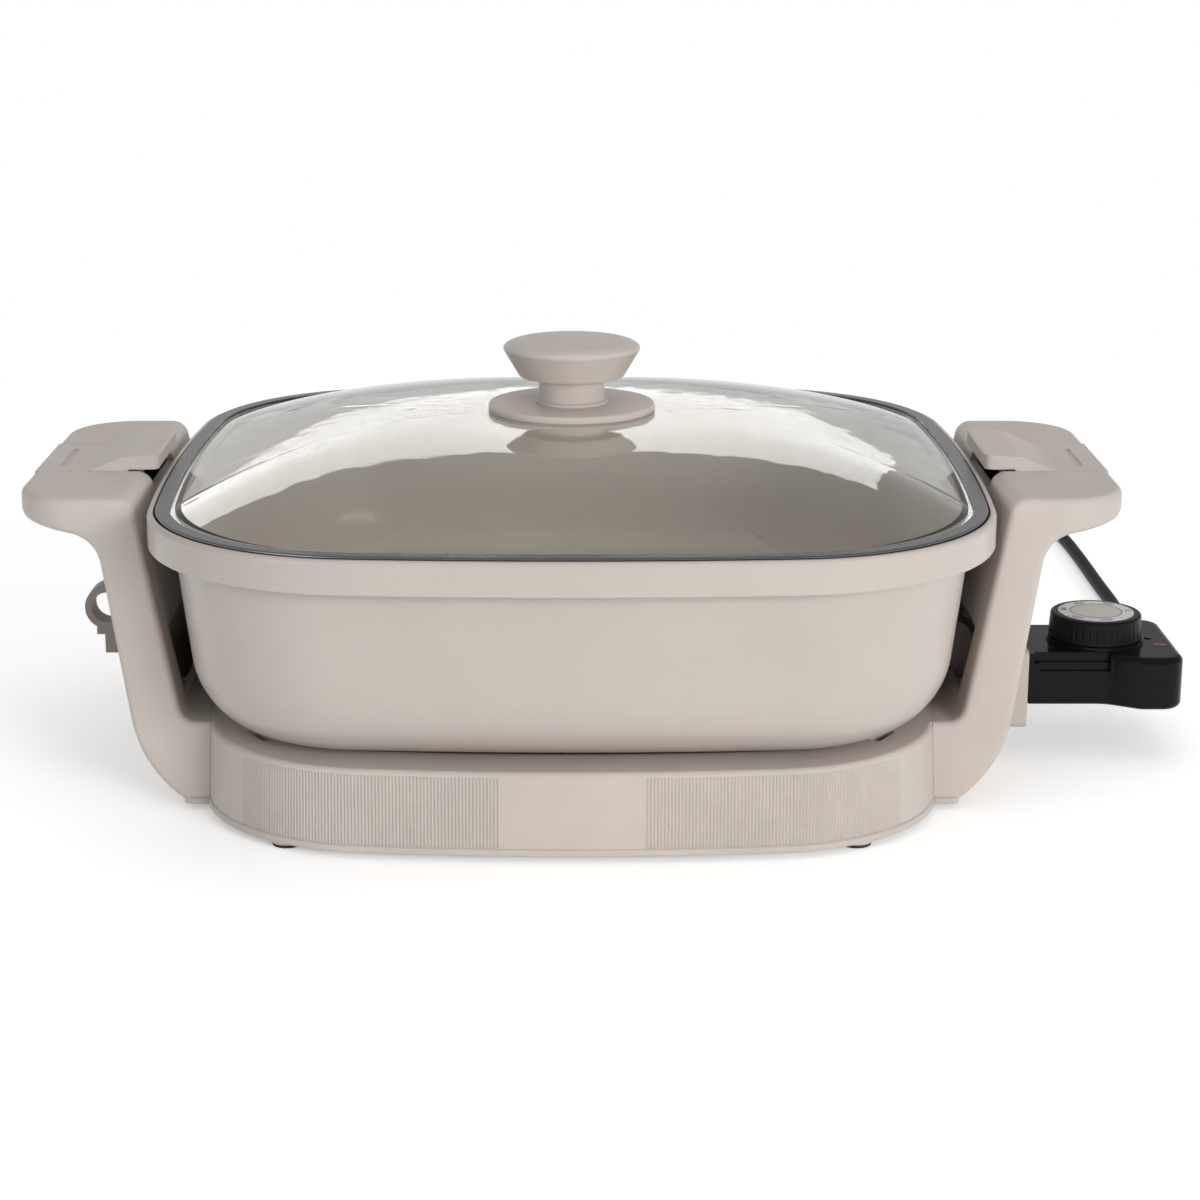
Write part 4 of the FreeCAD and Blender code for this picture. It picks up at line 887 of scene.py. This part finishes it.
screwLow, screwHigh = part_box("base_screws")
screwSpots = [(x, y) for x in (screwLow.x + headRadius, screwHigh.x - headRadius)
              for y in (screwLow.y + headRadius, screwHigh.y - headRadius)]
for number, (x, y) in enumerate(screwSpots):
    middle = Vector((x, y, screwLow.z))
    blank = loftRings("screwBlank", turnedRings(profile, screws["facets"], middle))
    cross = crossPrism("screwCross", middle, *screws["recess"], screws["recessEnds"])
    piece = addPiece(f"baseScrew{number + 1}", carved("screwWork", blank, cross), "base_body",
                     screwZinc, screws["sharpAbove"])
    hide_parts("base_screws")
print("base screws made")


# the plug's moulded body: a ringed neck, then a grip with finger ridges
plug = {
    "neck": 20.0 * mm,
    "neckPart": 0.94,           # the share of the neck that its stations take
    "neckTip": 4.2 * mm,
    "neckRoot": 7.0 * mm,
    "neckSteps": 8,
    "flare": 1.3,
    "rings": (2, 4, 6),         # the neck's stations that are drawn in
    "ringDepth": 0.5 * mm,
    "halfWidth": 12.0 * mm,
    "halfHeight": 8.0 * mm,
    "shoulder": ((0.00, 0.70, 0.92, 2.4), (0.04, 0.86, 0.97, 2.8), (0.10, 0.95, 1.0, 3.2)),
    "ridges": 5,
    "ridgeSteps": 4,            # stations to a ridge
    "ridgeSpan": (0.16, 0.46),  # where they start on the grip, and over what share of it
    "ridgeWidth": 0.97,
    "ridgeDepth": 0.7 * mm,
    "end": ((0.68, 1.0, 1.0), (0.94, 1.0, 1.0), (0.985, 0.975, 0.965), (1.0, 0.93, 0.90)),
    "roundness": 2.0,           # power of the neck's outline
    "squareness": 3.6,          # power of the grip's
    "facets": 64,
    "sharpAbove": 50,           # degrees
}


def roundedRing(x, middle, wide, high, power, facets):
    ring = []
    for i in range(facets):
        turn = i * math.tau / facets
        c, s = math.cos(turn), math.sin(turn)
        ring.append((x, middle.y + wide * math.copysign(abs(c) ** (2 / power), c),
                     middle.z + high * math.copysign(abs(s) ** (2 / power), s)))
    return ring


# each station along the plug is its place, half width, half height and outline's power
plugLow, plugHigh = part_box("plug_body")
plugMiddle = (plugLow + plugHigh) / 2
halfWidth, halfHeight, square = plug["halfWidth"], plug["halfHeight"], plug["squareness"]
stations = []
for i in range(plug["neckSteps"] + 1):  # the neck flares to the grip
    share = i / plug["neckSteps"]
    radius = plug["neckTip"] + (plug["neckRoot"] - plug["neckTip"]) * share ** plug["flare"]
    radius -= plug["ringDepth"] if i in plug["rings"] else 0.0
    stations.append((plugHigh.x - plug["neck"] * share * plug["neckPart"], radius, radius,
                     plug["roundness"]))
gripStart = plugHigh.x - plug["neck"]
gripLength = gripStart - plugLow.x
for share, wide, high, power in plug["shoulder"]:
    stations.append((gripStart - gripLength * share, halfWidth * wide, halfHeight * high, power))
ridgeStations = plug["ridges"] * plug["ridgeSteps"]
ridgeFrom, ridgeShare = plug["ridgeSpan"]
for i in range(ridgeStations + 1):  # finger ridges along both sides
    share = ridgeFrom + ridgeShare * i / ridgeStations
    dip = plug["ridgeDepth"] * (0.5 - 0.5 * math.cos(i * math.tau / plug["ridgeSteps"]))
    stations.append((gripStart - gripLength * share, halfWidth * plug["ridgeWidth"] - dip,
                     halfHeight, square))
for share, wide, high in plug["end"]:
    stations.append((gripStart - gripLength * share, halfWidth * wide, halfHeight * high, square))
plugMesh = loftRings("plugGrip", [roundedRing(x, plugMiddle, wide, high, power, plug["facets"])
                                  for x, wide, high, power in stations])
plugPiece = addPiece("plugGrip", plugMesh, "control_body", leadRubber,
                     plug["sharpAbove"])
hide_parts("plug_body")
print("plug made")


# marks printed on the dial's disc: a ring, fine ticks and the temperatures
marks = {
    "numbers": (("0", 0), ("200", 56), ("250", 112), ("300", 168), ("350", 224), ("400", 280)),
    "numberSize": 3.1 * mm,
    "numberRadius": 12.1 * mm,
    "numberSteps": 4,           # how finely the numbers' curves are divided
    "ring": (9.65 * mm, 10.0 * mm),
    "ringSectors": 96,
    "tick": (13.55 * mm, 14.15 * mm, 0.14 * mm),  # from, to, half width
    "tickStep": 14,             # degrees
    "sweep": 280,               # degrees from the first tick to the last
    "thickness": 0.05 * mm,
    "sunk": 0.02 * mm,          # how far the marks reach into the disc
    "ink": {
        "colour": (0.085, 0.083, 0.078),
        "wear": (900, 3.0, 0.6),
        "wearRange": (0.60, 0.80),
        "wearShare": 0.35,
        "wearTint": 2.2,
        "grain": (2400, 3.0, 0.55),
        "grainDepth": 0.00001,
        "rough": (0.38, 0.68),
    },
}


def printInk(name, look):
    paint = Paint(name)
    worn = paint.ramp(paint.noise(*look["wear"]), look["wearRange"]) * look["wearShare"]
    return paint.surface({
        "Base Color": paint.mix(worn, look["colour"], tinted(look["colour"], look["wearTint"])),
        "Roughness": between(look["rough"], worn),
        "Normal": paint.bump(paint.noise(*look["grain"]), look["grainDepth"]),
    })


def onDial(angle, along, aside):
    # a place on the disc: out from its middle at an angle, and to the left of that line
    c, s = math.cos(math.radians(angle)), math.sin(math.radians(angle))
    return faceMiddle.x + c * along - s * aside, faceMiddle.y + s * along + c * aside


def slab(form, corners, low, high):
    # a thin patch with the given outline
    bottom = [form.verts.new((x, y, low)) for x, y in corners]
    top = [form.verts.new((x, y, high)) for x, y in corners]
    form.faces.new(bottom[::-1])
    form.faces.new(top)
    for i in range(len(corners)):
        j = (i + 1) % len(corners)
        form.faces.new((bottom[i], bottom[j], top[j], top[i]))


markForm = bmesh.new()
markLow = faceTop - marks["sunk"]
markHigh = faceTop + marks["thickness"]
ringIn, ringOut = marks["ring"]
ringCorners = ((ringIn, markLow), (ringOut, markLow), (ringOut, markHigh), (ringIn, markHigh))
sectors = [[markForm.verts.new((*onDial(i * 360 / marks["ringSectors"], along, 0), z))
            for along, z in ringCorners] for i in range(marks["ringSectors"])]
for first, second in zip(sectors, sectors[1:] + sectors[:1]):
    for i in range(len(ringCorners)):
        j = (i + 1) % len(ringCorners)
        markForm.faces.new((first[i], second[i], second[j], first[j]))
tickIn, tickOut, tickHalf = marks["tick"]
for angle in range(0, marks["sweep"] + 1, marks["tickStep"]):
    slab(markForm, [onDial(angle, tickIn, -tickHalf), onDial(angle, tickOut, -tickHalf),
                    onDial(angle, tickOut, tickHalf), onDial(angle, tickIn, tickHalf)],
         markLow, markHigh)
for words, angle in marks["numbers"]:
    letters = bpy.data.curves.new("dialNumber", "FONT")
    letters.body = words
    letters.size = marks["numberSize"]
    letters.align_x = "CENTER"
    letters.align_y = "CENTER"
    letters.extrude = (markHigh - markLow) / 2
    letters.resolution_u = marks["numberSteps"]
    holder = bpy.data.objects.new("dialNumber", letters)
    bpy.context.scene.collection.objects.link(holder)
    written = holder.evaluated_get(bpy.context.evaluated_depsgraph_get())
    flat = bpy.data.meshes.new_from_object(written)
    x, y = onDial(angle, marks["numberRadius"], 0)
    upright = Matrix.Rotation(math.radians(angle - 90), 4, "Z")  # its top points outward
    flat.transform(Matrix.Translation((x, y, (markLow + markHigh) / 2)) @ upright)
    markForm.from_mesh(flat)
    bpy.data.objects.remove(holder)
addPiece("dialMarks", meshOf("dialMarks", markForm), "dial_body",
         printInk("dialInk", marks["ink"]))
print("dial marks printed")


# a small raised arrow on the control's top that the dial is read against
arrow = {
    "tip": 19.1 * mm,           # from the dial's middle
    "foot": 21.4 * mm,
    "halfWidth": 1.3 * mm,
    "height": 0.35 * mm,
    "sunk": 0.1 * mm,           # how far it reaches into the cover
    "soft": 0.12 * mm,
    "softSteps": 2,
    "belowLens": 0.15 * mm,     # how far the cover's top is below the pilot light's
}

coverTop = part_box("indicator_lens")[1].z - arrow["belowLens"]
arrowForm = bmesh.new()
slab(arrowForm, [onDial(0, arrow["tip"], 0), onDial(0, arrow["foot"], -arrow["halfWidth"]),
                 onDial(0, arrow["foot"], arrow["halfWidth"])],
     coverTop - arrow["sunk"], coverTop + arrow["height"])
bmesh.ops.recalc_face_normals(arrowForm, faces=arrowForm.faces)
arrowPiece = addPiece("dialArrow", meshOf("dialArrow", arrowForm), "control_body",
                      controlBlack)
softened = arrowPiece.modifiers.new("soft", "BEVEL")
softened.width = arrow["soft"]
softened.segments = arrow["softSteps"]
print("arrow made")


# the room: a pale floor, a white surround and soft lamps
room = {
    "floorHalf": 4.0,
    "floorColour": (0.80, 0.80, 0.80),
    "floorSeen": (0.97, 0.97, 0.97),  # the floor as the eye sees it, which casts no more light
    "floorGlow": 0.31,          # added for the eye only, so that the open floor is white
    "clearing": (0.26, 0.85),   # metres from the middle over which the floor turns plain white
    "seen": 1.0,                # strength of the surround for the eye, which is white
    "surround": 0.41,           # and as light on the object
    "ceiling": 0.35,            # and overhead in glass and metal
    "ceilingFrom": (-0.04, 0.30),  # how steeply a ray goes up where the ceiling starts and is full
    "nearWall": (-0.25, -0.95),  # how far it comes forward where a dark wall starts and is full
}

# where a lamp is, where it points, its size, its strength and whether gloss mirrors it
keyPlace = {"at": (0.95, -1.4, 0.45), "towards": (0.0, 0.0, 0.06), "size": (0.8, 0.6)}
lamps = {
    "key": dict(keyPlace, watts=16.0, mirrored=False),
    "glint": dict(keyPlace, watts=3.6, mirrored=True),  # the key's own image in gloss, but weaker
    "fill": {"at": (-1.1, -1.3, 0.45), "towards": (0.0, 0.0, 0.06), "size": (1.0, 0.7),
             "watts": 4.4, "mirrored": True},
    "top": {"at": (0.1, -0.1, 1.5), "towards": (0.0, 0.0, 0.05), "size": (1.4, 0.9),
            "watts": 3.6, "mirrored": False},
    "back": {"at": (-0.2, 1.6, 0.6), "towards": (0.0, 0.0, 0.1), "size": (1.6, 0.6),
             "watts": 9.0, "mirrored": False},
}


# 1 for rays of the named kinds, such as the eye's own, and 0 for light on the object
def seenRays(paint, *kinds):
    rays = [paint.node("ShaderNodeLightPath", out=f"Is {kind} Ray") for kind in kinds]
    return paint.ramp(sum(rays[1:], rays[0]), (0.0, 1.0))


def whiteLight(paint, kind, strength):
    return paint.node(kind, None, {"Color": (1, 1, 1), "Strength": strength})


floorPaint = Paint("floorPaint")
seen = seenRays(floorPaint, "Camera", "Glossy", "Transmission")
dull = floorPaint.node("ShaderNodeBsdfDiffuse", None, {"Color": room["floorColour"]})
pale = floorPaint.node("ShaderNodeBsdfDiffuse", None, {"Color": room["floorSeen"]})
glow = whiteLight(floorPaint, "ShaderNodeEmission", room["floorGlow"])
lit = floorPaint.node("ShaderNodeAddShader", None, {0: pale, 1: glow})
near = floorPaint.either(seen, dull, lit)
away = floorPaint.vector("LENGTH", {0: floorPaint.spot()}, "Value")
clear = floorPaint.ramp(away, room["clearing"])
white = whiteLight(floorPaint, "ShaderNodeEmission", room["seen"])
above = floorPaint.either(clear * seen, near, white)
below = floorPaint.node("ShaderNodeNewGeometry", out="Backfacing")
nothing = floorPaint.node("ShaderNodeBsdfTransparent")
floorPaint.finish(floorPaint.either(below, above, nothing))  # see-through from underneath

half = room["floorHalf"]
floorMesh = bpy.data.meshes.new("floor")
floorMesh.from_pydata([(-half, -half, 0), (half, -half, 0), (half, half, 0), (-half, half, 0)],
                      [], [(0, 1, 2, 3)])
floorMesh.materials.append(floorPaint.material)
floor = bpy.data.objects.new("floor", floorMesh)
bpy.context.scene.collection.objects.link(floor)

surround = bpy.data.worlds.new("surround")
bpy.context.scene.world = surround
surround.use_nodes = True
worldPaint = Paint("surround", surround.node_tree)
bright, dim, ceiling = [whiteLight(worldPaint, "ShaderNodeBackground", room[key])
                        for key in ("seen", "surround", "ceiling")]
heading = worldPaint.node("ShaderNodeTexCoord", out="Generated")
upward = worldPaint.node("ShaderNodeSeparateXYZ", None, {0: heading}, "Z")
backward = worldPaint.node("ShaderNodeSeparateXYZ", None, {0: heading}, "Y")
overhead = worldPaint.ramp(upward, room["ceilingFrom"])
dark = 1 - (1 - overhead) * (1 - worldPaint.ramp(backward, room["nearWall"]))
mirrored = worldPaint.either(dark, bright, ceiling)
through = worldPaint.either(overhead, bright, ceiling)
mixed = dim
for kind, shown in (("Glossy", mirrored), ("Transmission", through), ("Camera", bright)):
    mixed = worldPaint.either(seenRays(worldPaint, kind), mixed, shown)
worldPaint.node("ShaderNodeOutputWorld", None, {"Surface": mixed}, None)

for name, lamp in lamps.items():
    light = bpy.data.lights.new(name + "Lamp", "AREA")
    light.shape = "RECTANGLE"
    light.size, light.size_y = lamp["size"]
    light.energy = lamp["watts"]
    holder = bpy.data.objects.new(name + "Lamp", light)
    holder.location = lamp["at"]
    aim = Vector(lamp["towards"]) - Vector(lamp["at"])
    holder.rotation_euler = aim.to_track_quat("-Z", "Y").to_euler()
    holder.visible_glossy = lamp["mirrored"]
    bpy.context.scene.collection.objects.link(holder)

bpy.context.scene.view_settings.view_transform = "Standard"
print("room and lamps set")


# bring the scene's objects up to date
bpy.context.view_layer.update()
